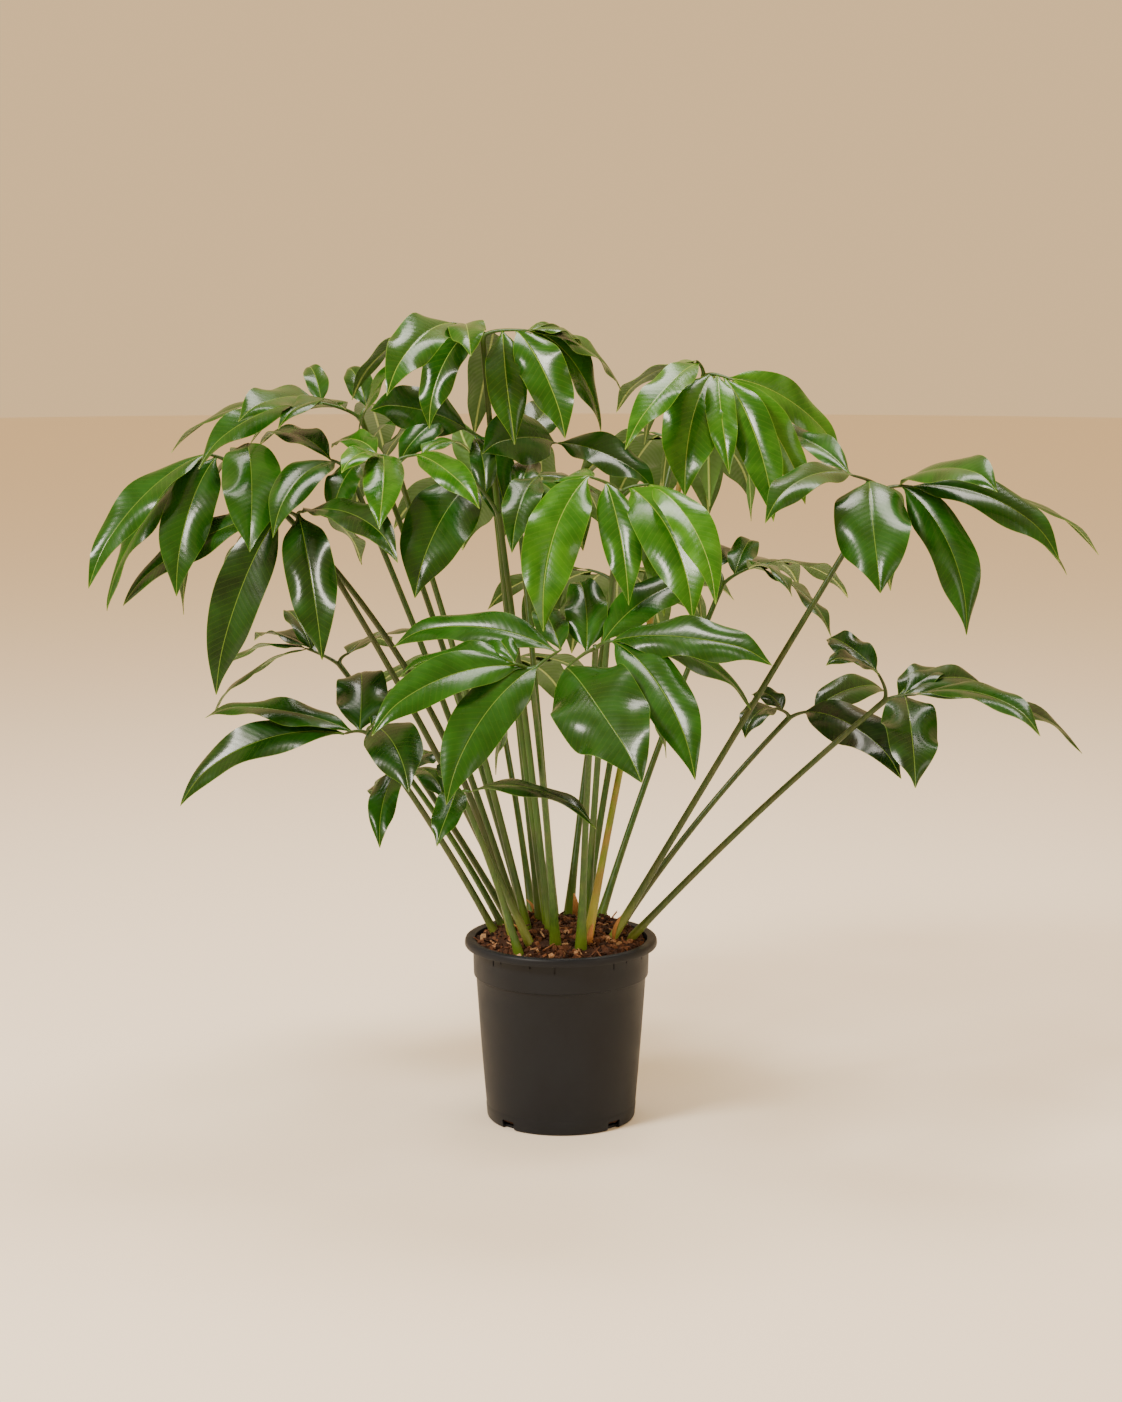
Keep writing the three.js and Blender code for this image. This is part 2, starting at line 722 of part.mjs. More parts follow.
function build() {
  const plant = new THREE.Group();
  plant.name = "potted_philodendron";
  plant.add(piece("nursery_pot", potSolid(), MATERIALS.pot));
  const sockets = LEAVES.map((leaf) => stalkSolid(leaf, GAP));
  plant.add(piece("soil", soilSolid(sockets), MATERIALS.soil));
  for (const leaf of LEAVES) {
    const material = BRIGHT_LEAVES.has(leaf.name) ? MATERIALS.brightLeaf : MATERIALS.leaf;
    plant.add(piece("stalk_" + leaf.name, stalkSolid(leaf, 0), MATERIALS.stalk));
    plant.add(piece("blade_" + leaf.name, bladeSolid(leaf), material));
  }
  return plant;
}

const group = build();
export default group;
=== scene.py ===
"""The looks of the potted split-leaf philodendron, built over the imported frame.

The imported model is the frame: metres, +Z up, -Y in front, and the origin in the middle of the pot's
underside. Each class below is one sub-assembly, and its sizes are its fields, in millimetres.
"""

import logging
import math
import random
from collections.abc import Callable, Iterable
from dataclasses import dataclass, field
from enum import Enum
from typing import Any

import bpy
import numpy as np
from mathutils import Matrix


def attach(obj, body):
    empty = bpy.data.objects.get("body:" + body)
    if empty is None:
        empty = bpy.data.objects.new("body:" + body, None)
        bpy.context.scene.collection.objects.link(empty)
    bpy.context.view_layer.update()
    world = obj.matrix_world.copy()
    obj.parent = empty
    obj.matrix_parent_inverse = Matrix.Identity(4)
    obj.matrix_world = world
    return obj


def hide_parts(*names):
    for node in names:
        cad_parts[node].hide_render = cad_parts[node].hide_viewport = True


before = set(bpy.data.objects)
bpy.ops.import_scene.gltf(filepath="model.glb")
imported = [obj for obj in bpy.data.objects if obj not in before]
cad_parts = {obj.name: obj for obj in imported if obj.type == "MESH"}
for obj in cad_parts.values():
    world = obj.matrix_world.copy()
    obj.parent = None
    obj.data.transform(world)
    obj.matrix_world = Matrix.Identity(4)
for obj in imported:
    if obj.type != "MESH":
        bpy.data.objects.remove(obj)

log = logging.getLogger("philodendron")

MM = 0.001
UP = np.array((0.0, 0.0, 1.0))
BODY = "root"


class Side(Enum):
    """The two arms that a stalk forks into."""

    LEFT = 0
    RIGHT = 1


class Tilt(Enum):
    """The ways that the upper side of a leaf turns."""

    FRONT = (0.0, -1.0, 0.35)
    BACK = (0.0, 1.0, 0.5)
    BACK_LEFT = (-0.5, 0.8, 0.4)
    BACK_RIGHT = (0.5, 0.8, 0.4)


LEFT, RIGHT = Side.LEFT, Side.RIGHT
FRONT, BACK, BACK_LEFT, BACK_RIGHT = Tilt


# ---- helpers ---------------------------------------------------------------------------------


def deselect() -> None:
    """Leaves nothing selected, because an operator acts on all that is."""
    for thing in bpy.context.selected_objects:
        thing.select_set(False)


def select_only(*things: bpy.types.Object) -> None:
    """Selects these objects and nothing else.

    Args:
        things: the objects, the first of which becomes active.
    """
    deselect()
    for thing in things:
        thing.select_set(True)
    bpy.context.view_layer.objects.active = things[0]


def join(things: list[bpy.types.Object], name: str) -> bpy.types.Object:
    """Joins meshes into one.

    Args:
        things: the objects to join.
        name: the name of the joined piece.

    Returns:
        The joined object.
    """
    select_only(*things)
    if len(things) > 1:
        bpy.ops.object.join()
    made = bpy.context.view_layer.objects.active
    made.name = name
    made.data.name = name
    return made


def settle(piece: bpy.types.Object) -> None:
    """Puts a piece's place into its mesh, so that its object stands at the origin."""
    select_only(piece)
    bpy.ops.object.transform_apply(location=True, rotation=True, scale=True)


def apply_modifier(piece: bpy.types.Object, kind: str, settings: dict[str, Any]) -> None:
    """Adds a modifier and applies it.

    Args:
        piece: the mesh object that gets it.
        kind: the modifier's type.
        settings: its properties by name.
    """
    select_only(piece)
    modifier = piece.modifiers.new(kind.title(), kind)
    for key, value in settings.items():
        setattr(modifier, key, value)
    bpy.ops.object.modifier_apply(modifier=modifier.name)


def smooth(piece: bpy.types.Object, degrees: float) -> None:
    """Shades a piece smooth, apart from edges sharper than an angle."""
    select_only(piece)
    bpy.ops.object.shade_smooth_by_angle(angle=math.radians(degrees))


def coordinates(mesh: bpy.types.Mesh) -> np.ndarray:
    """The mesh's vertices as rows of x, y and z."""
    flat = np.empty(len(mesh.vertices) * 3)
    mesh.vertices.foreach_get("co", flat)
    return flat.reshape(-1, 3)


def write_attribute(mesh: bpy.types.Mesh, name: str, kind: str, values: np.ndarray) -> None:
    """Stores one value per vertex for the materials to read.

    Args:
        mesh: the mesh that carries it.
        name: the attribute's name.
        kind: FLOAT or FLOAT_VECTOR.
        values: one number or one row of three numbers a vertex.
    """
    layer = mesh.attributes.get(name) or mesh.attributes.new(name, kind, "POINT")
    layer.data.foreach_set(
        "vector" if kind == "FLOAT_VECTOR" else "value",
        np.ascontiguousarray(values, dtype=np.float32).ravel(),
    )


def copy_of(template: bpy.types.Object, name: str, points: np.ndarray) -> bpy.types.Object:
    """A copy of a template with its own mesh and new places for its vertices.

    Args:
        template: the object to copy.
        name: the copy's name.
        points: the new vertices, in metres.

    Returns:
        The copy, linked to the scene.
    """
    mesh = template.data.copy()
    mesh.vertices.foreach_set("co", np.ascontiguousarray(points).ravel())
    made = bpy.data.objects.new(name, mesh)
    bpy.context.scene.collection.objects.link(made)
    return made


def hand_over(piece: bpy.types.Object, slot: str, *nodes: str) -> None:
    """Lets a finished piece ride on the body and stand for CAD nodes.

    Args:
        piece: the finished object.
        slot: a material slot's name; it is not used.
        nodes: the CAD nodes that it replaces.
    """
    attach(piece, BODY)
    if nodes:
        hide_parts(*nodes)
    log.info("%s: %d faces", piece.name, len(piece.data.polygons))


def dress(piece: bpy.types.Object, material: bpy.types.Material) -> None:
    """Gives a piece one material and no other."""
    piece.data.materials.clear()
    piece.data.materials.append(material)


def unit(vectors: np.ndarray) -> np.ndarray:
    """Vectors, or one vector, at a length of one."""
    return vectors / np.maximum(np.linalg.norm(vectors, axis=-1, keepdims=True), 1e-9)


def bezier(handles: Iterable[np.ndarray], shares: np.ndarray) -> np.ndarray:
    """Points on a Bezier curve.

    Args:
        handles: the curve's control points.
        shares: places along it, from 0 to 1.

    Returns:
        One row a share.
    """
    rows = [np.tile(handle, (len(shares), 1)) for handle in handles]
    while len(rows) > 1:
        rows = [a + (b - a) * shares[:, None] for a, b in zip(rows, rows[1:])]
    return rows[0]


def bezier_direction(handles: list[np.ndarray], shares: np.ndarray) -> np.ndarray:
    """The way a Bezier curve runs at each share, as unit vectors."""
    return unit(bezier([b - a for a, b in zip(handles, handles[1:])], shares))


def swell(shares: np.ndarray, centre: float, width: float) -> np.ndarray:
    """A bell curve over the shares, 1 at its centre."""
    return np.exp(-(((shares - centre) / width) ** 2))


def ramp(values: np.ndarray, low: float, high: float) -> np.ndarray:
    """Goes smoothly from 0 at low to 1 at high."""
    share = np.clip((values - low) / (high - low), 0, 1)
    return share * share * (3 - 2 * share)


# ---- materials -------------------------------------------------------------------------------

COLOURS = {"data_type": "RGBA"}
EASED = {"interpolation_type": "SMOOTHSTEP"}


def linear(colour: str) -> tuple[float, float, float, float]:
    """Turns an sRGB hex colour into the linear colour that a shader takes.

    Args:
        colour: six hex digits after a hash sign.

    Returns:
        Linear red, green and blue, and an alpha of 1.
    """
    shares = [int(colour[i : i + 2], 16) / 255 for i in (1, 3, 5)]
    red, green, blue = (
        share / 12.92 if share <= 0.04045 else ((share + 0.055) / 1.055) ** 2.4
        for share in shares
    )
    return red, green, blue, 1.0


def pattern_scale(size: float) -> float:
    """The scale of a pattern whose grains are this many millimetres across."""
    return 1 / (size * MM)


def add_node(
    tree: bpy.types.NodeTree,
    kind: str,
    settings: dict[str, Any] | None = None,
    inputs: dict[Any, Any] | None = None,
) -> bpy.types.Node:
    """Adds one node with its settings and its links.

    Args:
        tree: the material's node tree.
        kind: the node's type, without the ShaderNode that it starts with.
        settings: its properties by name.
        inputs: its inputs by name or number, each a value, a socket, or a node for its first output.

    Returns:
        The new node.
    """
    node = tree.nodes.new("ShaderNode" + kind)
    for key, value in (settings or {}).items():
        setattr(node, key, value)
    for key, value in (inputs or {}).items():
        if isinstance(value, bpy.types.Node):
            value = value.outputs[0]
        if isinstance(value, bpy.types.NodeSocket):
            tree.links.new(value, node.inputs[key])
        else:
            node.inputs[key].default_value = value
    return node


def new_material(name: str) -> tuple[bpy.types.Material, bpy.types.NodeTree, bpy.types.NodeSocket]:
    """Starts a material.

    Args:
        name: the material's name.

    Returns:
        The material, its empty node tree, and the socket with places in the object's own space.
    """
    material = bpy.data.materials.new(name)
    material.use_nodes = True
    tree = material.node_tree
    tree.nodes.clear()
    return material, tree, add_node(tree, "TexCoord").outputs["Object"]


def layered(
    tree: bpy.types.NodeTree, ground: str, layers: Iterable[tuple[Any, str]]
) -> bpy.types.NodeSocket:
    """Paints colours over each other.

    Args:
        tree: the material's node tree.
        ground: the lowest colour.
        layers: how much of each further colour shows, and the colour, from the lowest up.

    Returns:
        The socket with the finished colour.
    """
    colour = linear(ground)
    for share, paint in layers:
        mixed = add_node(tree, "Mix", COLOURS, {0: share, 6: colour, 7: linear(paint)})
        colour = mixed.outputs[2]
    return colour


def leaf_pattern(
    tree: bpy.types.NodeTree, rib_width: float, vein_spacing: float, vein_slant: float
) -> tuple[bpy.types.Node, bpy.types.Node, bpy.types.NodeSocket]:
    """Adds what both sides of a leaf share: the midrib and the slanting side veins.

    Args:
        tree: the material's node tree.
        rib_width: the midrib's half width, in millimetres.
        vein_spacing: the distance from vein to vein, in millimetres.
        vein_slant: how far the veins lean towards the tip.

    Returns:
        The midrib, 1 at its middle, the wave of the veins, and the distance to the margin.
    """
    blade = add_node(tree, "Attribute", {"attribute_name": "blade"}).outputs["Vector"]
    across, along, edge = add_node(tree, "SeparateXYZ", inputs={0: blade}).outputs
    away = add_node(tree, "Math", {"operation": "ABSOLUTE"}, {0: across})
    rib = add_node(tree, "MapRange", EASED, falling(away, rib_width))
    # Side veins leave the midrib at a slant and meet the margin nearer the tip.
    swept = add_node(
        tree, "Math", {"operation": "MULTIPLY_ADD"}, {0: away, 1: -vein_slant, 2: along}
    )
    per_turn = 2 * math.pi * pattern_scale(vein_spacing)
    turns = add_node(tree, "Math", {"operation": "MULTIPLY"}, {0: swept, 1: per_turn})
    return rib, add_node(tree, "Math", {"operation": "SINE"}, {0: turns}), edge


def falling(distance: Any, width: float, top: float = 1.0) -> dict[str, Any]:
    """A map range's inputs that fall from the top to 0 as a distance nears a width.

    Args:
        distance: the node or socket with the distance.
        width: where it reaches 0, in millimetres.
        top: its value near the middle.

    Returns:
        The inputs by name.
    """
    low, high = width * 0.3 * MM, width * MM
    return {"Value": distance, "From Min": low, "From Max": high, "To Min": top, "To Max": 0.0}


@dataclass(frozen=True)
class LeafUpperSide:
    """Waxed upper side of a leaf blade: a clear cuticle over green tissue.

    The cuticle gives broad soft highlights, the midrib is a pale line, and the side veins barely
    show. Its specular level is low, so that the green stays deep where it mirrors a bright room.
    Its colour runs from the darkest green up to a bright yellow-green as the tint rises. This is
    partly the leaf's age and partly painted light: a painted glow of light through the leaf at the
    top, and painted shade at the bottom.
    """

    name: str
    shade: str
    body: str
    young_and_backlit: str
    rib: str
    margin: str
    roughness: float
    coat: float
    rib_width: float = 0.7
    rib_strength: float = 0.75
    margin_width: float = 0.7
    margin_strength: float = 0.55
    vein_spacing: float = 8.0
    vein_slant: float = 0.75
    vein_strength: float = 0.07
    quilting: float = -0.08
    fine_grain: float = 0.3
    mottle_size: float = 28.0
    mottle_depth: float = 0.12
    grain_size: float = 1.6
    relief: float = 0.45
    specular: float = 0.36

    def make(self) -> bpy.types.Material:
        """Builds the material.

        Returns:
            The material, which reads the blade and tint attributes of a leaflet.
        """
        material, tree, spot = new_material(self.name)
        rib, wave, edge = leaf_pattern(tree, self.rib_width, self.vein_spacing, self.vein_slant)
        tint = add_node(tree, "Attribute", {"attribute_name": "tint"}).outputs["Fac"]
        mottle, grain = (
            add_node(
                tree,
                "TexNoise",
                inputs={"Vector": spot, "Scale": pattern_scale(size), "Detail": detail},
            )
            for size, detail in ((self.mottle_size, 3.0), (self.grain_size, 2.0))
        )
        margin = add_node(
            tree, "MapRange", EASED, falling(edge, self.margin_width, self.margin_strength)
        )
        vein = add_node(
            tree,
            "MapRange",
            EASED,
            {"Value": wave, "From Min": 0.88, "From Max": 1.0, "To Max": self.vein_strength},
        )
        # The cuticle is a little duller in patches, where water has dried on it.
        patchy, gloss = (
            add_node(
                tree,
                "MapRange",
                inputs={
                    "Value": mottle,
                    "From Min": 0.3,
                    "From Max": top,
                    "To Min": low,
                    "To Max": high,
                },
            )
            for top, low, high in (
                (0.7, -self.mottle_depth, self.mottle_depth),
                (0.75, self.roughness - 0.05, self.roughness + 0.1),
            )
        )
        # The tone mixes the green from dark to bright. This is partly the leaf's age and partly painted
        # light: a painted glow where light shines through, and painted shade where the leaf sits in
        # shade.
        tone = add_node(tree, "Math", {"operation": "ADD"}, {0: tint, 1: patchy})
        lower = add_node(tree, "MapRange", inputs={"Value": tone, "From Max": 0.5})
        upper = add_node(tree, "MapRange", inputs={"Value": tone, "From Min": 0.5})
        ribbed, fine = (
            add_node(tree, "Math", {"operation": "MULTIPLY"}, {0: part, 1: strength})
            for part, strength in ((rib, self.rib_strength), (grain, self.fine_grain))
        )
        colour = layered(
            tree,
            self.shade,
            (
                (lower, self.body),
                (upper, self.young_and_backlit),
                (vein, self.rib),
                (margin, self.margin),
                (ribbed, self.rib),
            ),
        )
        height = fine
        for part, strength in ((wave, self.quilting), (rib, -1.0)):
            height = add_node(
                tree, "Math", {"operation": "MULTIPLY_ADD"}, {0: part, 1: strength, 2: height}
            )
        bump = add_node(
            tree, "Bump", inputs={"Height": height, "Distance": self.relief * MM, "Strength": 0.8}
        )
        shader = add_node(
            tree,
            "BsdfPrincipled",
            inputs={
                "Base Color": colour,
                "Roughness": gloss,
                "Normal": bump,
                "IOR": 1.4,
                "Specular IOR Level": self.specular,
                "Coat Weight": self.coat,
                "Coat Roughness": 0.13,
            },
        )
        add_node(tree, "OutputMaterial", inputs={0: shader})
        return material


@dataclass(frozen=True)
class LeafUnderside:
    """Unwaxed underside of a leaf blade: paler and duller, with a raised pale midrib."""

    name: str = "leaf underside"
    shade: str = "#274718"
    body: str = "#4a7428"
    rib: str = "#9db562"
    rib_width: float = 1.8
    vein_spacing: float = 8.0
    vein_slant: float = 0.75
    vein_height: float = 0.25
    mottle_size: float = 16.667
    roughness: float = 0.52
    relief: float = 0.5

    def make(self) -> bpy.types.Material:
        """Builds the material.

        Returns:
            The material, which reads the blade and tint attributes of a leaflet.
        """
        material, tree, spot = new_material(self.name)
        rib, wave, _ = leaf_pattern(tree, self.rib_width, self.vein_spacing, self.vein_slant)
        tint = add_node(tree, "Attribute", {"attribute_name": "tint"}).outputs["Fac"]
        scale = pattern_scale(self.mottle_size)
        mottle = add_node(tree, "TexNoise", inputs={"Vector": spot, "Scale": scale, "Detail": 3.0})
        tone, height = (
            add_node(tree, "Math", {"operation": "MULTIPLY_ADD"}, {0: part, 1: strength, 2: ground})
            for part, strength, ground in ((mottle, 0.5, tint), (wave, self.vein_height, rib))
        )
        colour = layered(tree, self.shade, ((tone, self.body), (rib, self.rib)))
        bump = add_node(tree, "Bump", inputs={"Height": height, "Distance": self.relief * MM})
        shader = add_node(
            tree,
            "BsdfPrincipled",
            inputs={"Base Color": colour, "Roughness": self.roughness, "Normal": bump, "IOR": 1.45},
        )
        add_node(tree, "OutputMaterial", inputs={0: shader})
        return material


@dataclass(frozen=True)
class StalkSkin:
    """Smooth skin of a leaf stalk: satin green, paler towards the sheath at its foot.

    Fine lengthwise streaks break the green up, and an ageing stalk shows ochre blotches.
    """

    name: str
    body: str
    streak: str
    foot: str
    blotch: str
    blotch_share: float = 0.0
    streak_size: float = 2.2
    streak_stretch: float = 0.06
    blotch_size: float = 31.25
    roughness: float = 0.38

    def make(self) -> bpy.types.Material:
        """Builds the material.

        Returns:
            The material, which reads the rise attribute of a stalk: 0 at its foot and 1 at its top.
        """
        material, tree, spot = new_material(self.name)
        rise = add_node(tree, "Attribute", {"attribute_name": "rise"}).outputs["Fac"]
        stretched = add_node(
            tree, "Mapping", inputs={"Vector": spot, "Scale": (1.0, 1.0, self.streak_stretch)}
        )
        streaks, clouds = (
            add_node(
                tree,
                "TexNoise",
                inputs={"Vector": place, "Scale": pattern_scale(size), "Detail": detail},
            )
            for place, size, detail in (
                (stretched, self.streak_size, 3.0),
                (spot, self.blotch_size, 4.0),
            )
        )
        streaky, blotchy = (
            add_node(
                tree,
                "MapRange",
                inputs={"Value": part, "From Min": low, "From Max": high, "To Max": most},
            )
            for part, low, high, most in (
                (streaks, 0.4, 0.68, 0.8),
                (clouds, 0.48, 0.62, self.blotch_share),
            )
        )
        sheath = add_node(
            tree,
            "MapRange",
            EASED,
            {"Value": rise, "From Min": 0.01, "From Max": 0.14, "To Min": 0.75, "To Max": 0.0},
        )
        colour = layered(
            tree,
            self.body,
            ((streaky, self.streak), (blotchy, self.blotch), (sheath, self.foot)),
        )
        bump = add_node(
            tree, "Bump", inputs={"Height": streaks, "Distance": 0.4 * MM, "Strength": 0.6}
        )
        shader = add_node(
            tree,
            "BsdfPrincipled",
            inputs={"Base Color": colour, "Roughness": self.roughness, "Normal": bump, "IOR": 1.45},
        )
        add_node(tree, "OutputMaterial", inputs={0: shader})
        return material


@dataclass(frozen=True)
class MouldedPlastic:
    """Recycled polypropylene, injection-moulded: satin charcoal with a fine tool grain.

    The grain blurs the highlights, and faint dust makes the body a little paler in patches.
    Its specular level is low, so that it stays charcoal where it mirrors a pale room.
    """

    name: str = "moulded polypropylene"
    body: str = "#12161d"
    dust: str = "#1b2028"
    roughness: float = 0.42
    grain_size: float = 0.9
    grain_depth: float = 0.12
    dust_size: float = 60.0
    specular: float = 0.22

    def make(self) -> bpy.types.Material:
        """Builds the material.

        Returns:
            The material.
        """
        material, tree, spot = new_material(self.name)
        grain, clouds = (
            add_node(
                tree,
                "TexNoise",
                inputs={"Vector": spot, "Scale": pattern_scale(size), "Detail": detail},
            )
            for size, detail in ((self.grain_size, 2.0), (self.dust_size, 5.0))
        )
        dusty, satin = (
            add_node(
                tree,
                "MapRange",
                inputs={
                    "Value": clouds,
                    "From Min": start,
                    "From Max": stop,
                    "To Min": low,
                    "To Max": high,
                },
            )
            for start, stop, low, high in (
                (0.35, 0.8, 0.0, 0.7),
                (0.3, 0.7, self.roughness, self.roughness + 0.14),
            )
        )
        bump = add_node(
            tree,
            "Bump",
            inputs={"Height": grain, "Distance": self.grain_depth * MM, "Strength": 0.7},
        )
        shader = add_node(
            tree,
            "BsdfPrincipled",
            inputs={
                "Base Color": layered(tree, self.body, ((dusty, self.dust),)),
                "Roughness": satin,
                "Normal": bump,
                "IOR": 1.49,
                "Specular IOR Level": self.specular,
            },
        )
        add_node(tree, "OutputMaterial", inputs={0: shader})
        return material


@dataclass(frozen=True)
class PottingMix:
    """Coir and bark: dry, rough crumbs from near-black brown to pale tan.

    It has hardly any gloss, and each crumb has a tone of its own.
    """

    name: str = "coir and bark"
    gap: str = "#1e120c"
    crumb: str = "#4b2f20"
    bark: str = "#7a5036"
    chip: str = "#c39f78"
    crumb_size: float = 2.4
    relief: float = 1.2

    def make(self) -> bpy.types.Material:
        """Builds the material.

        Returns:
            The material, which reads the tint attribute of a crumb.
        """
        material, tree, spot = new_material(self.name)
        tint = add_node(tree, "Attribute", {"attribute_name": "tint"}).outputs["Fac"]
        scale = pattern_scale(self.crumb_size)
        crumbs = add_node(tree, "TexNoise", inputs={"Vector": spot, "Scale": scale, "Detail": 4.0})
        tone = add_node(tree, "Math", {"operation": "MULTIPLY_ADD"}, {0: crumbs, 1: 0.3, 2: tint})
        low, middle, high = (
            add_node(tree, "MapRange", inputs={"Value": tone, "From Min": start, "From Max": stop})
            for start, stop in ((0.15, 0.5), (0.5, 0.85), (0.95, 1.15))
        )
        layers = ((low, self.crumb), (middle, self.bark), (high, self.chip))
        bump = add_node(tree, "Bump", inputs={"Height": crumbs, "Distance": self.relief * MM})
        shader = add_node(
            tree,
            "BsdfPrincipled",
            inputs={
                "Base Color": layered(tree, self.gap, layers),
                "Roughness": 0.92,
                "Normal": bump,
                "Specular IOR Level": 0.25,
            },
        )
        add_node(tree, "OutputMaterial", inputs={0: shader})
        return material


@dataclass(frozen=True)
class StudioFloor:
    """Matt painted floor of a studio: pale, warm and plain."""

    name: str = "matt floor paint"
    colour: str = "#f8eedd"

    def make(self) -> bpy.types.Material:
        """Builds the material, one plain colour with hardly any gloss."""
        material, tree, _ = new_material(self.name)
        shader = add_node(
            tree,
            "BsdfPrincipled",
            inputs={
                "Base Color": linear(self.colour),
                "Roughness": 0.85,
                "Specular IOR Level": 0.2,
            },
        )
        add_node(tree, "OutputMaterial", inputs={0: shader})
        return material


# The third colour of each is the bright green at the top of the tone: a young leaf's green, and also a
# painted glow of light shining through the leaf.
MATURE_LEAF = LeafUpperSide(
    "waxed leaf", "#061b02", "#164a02", "#327304", "#6d8c34", "#638a2c", 0.27, 0.18
)
YOUNG_LEAF = LeafUpperSide(
    "waxed young leaf", "#0a2801", "#1d5402", "#4b8a04", "#8fae44", "#7da42e", 0.25, 0.2
)
STALK_SKINS = {
    "green": StalkSkin("green stalk skin", "#274a0e", "#3c6018", "#6f8c2e", "#5c5a2c", 0.2),
    "dark": StalkSkin("dark stalk skin", "#283f10", "#415620", "#7d8c38", "#4f4a28", 0.3),
    "ageing": StalkSkin("ageing stalk skin", "#5f701c", "#807f30", "#a7a042", "#8a5c34", 0.45),
}
DRY_HUSK = PottingMix("dry husk", "#3a2416", "#7a5230", "#9c6c3c", "#c49a62", 3.5)


# ---- the leaves ------------------------------------------------------------------------------

Point = tuple[float, float, float]


@dataclass(frozen=True)
class Leaf:
    """One leaf: a stalk that forks into two arms, with leaflets on the arms. Millimetres.

    foot is where the stalk leaves the soil, hub is where it forks, and bow is how far it bulges
    inwards. arms holds the two arms' ends, from the hub. faces is the way the upper sides turn, and
    tone goes from 0, dark, to 1, bright. This is partly the leaf's age, old to young, and partly
    painted light: high for leaves painted as lit through, and low for leaves painted as in shade.
    A leaflet is its arm, its place along it, its tip from the hub, its width, and how far it turns
    to face the leaf's way.
    """

    name: str
    foot: tuple[float, float]
    hub: Point
    bow: float
    arms: tuple[Point, Point]
    faces: Tilt
    tone: float
    leaflets: tuple[tuple[Side, float, Point, float, float], ...]

    def stalk_line(self, short: float) -> list[np.ndarray]:
        """The stalk's curve from under the soil to its top.

        Args:
            short: how far under the hub it ends.

        Returns:
            The control points of a quadratic curve.
        """
        foot = np.array((*self.foot, STALK_FOOT))
        hub = np.array(self.hub, dtype=float)
        outward = unit((hub - foot) * (1, 1, 0))
        middle = (foot + hub) / 2 - outward * self.bow + UP * (BOW_LIFT * self.bow)
        rise = unit(hub - middle)
        return [foot, middle - rise * short / 2, hub - rise * short]

    def rise(self) -> np.ndarray:
        """The way the stalk runs where it meets the arms."""
        _, middle, top = self.stalk_line(NECK)
        return unit(top - middle)

    def arm_line(self, side: Side) -> list[np.ndarray]:
        """The control points of one arm's quadratic curve."""
        hub = np.array(self.hub, dtype=float)
        rise = self.rise()
        return [hub - rise * NECK, hub + rise * 4, hub + self.arms[side.value]]

    def arm_point(self, side: Side, place: float) -> np.ndarray:
        """Where a leaflet leaves its arm."""
        return bezier(self.arm_line(side), np.array([BARE_ARM + LEAFY_ARM * place]))[0]


NECK = 12.0  # the arms start this far under the hub, inside the stalk's top
STALK_FOOT = 219.0  # the stalks start at this height, under the soil's top
BOW_LIFT = 0.6  # how far a stalk's middle is raised, as a share of its bow
BARE_ARM = 0.45  # the share of an arm before its first leaflet
LEAFY_ARM = 0.53  # the share that the leaflets are spread over

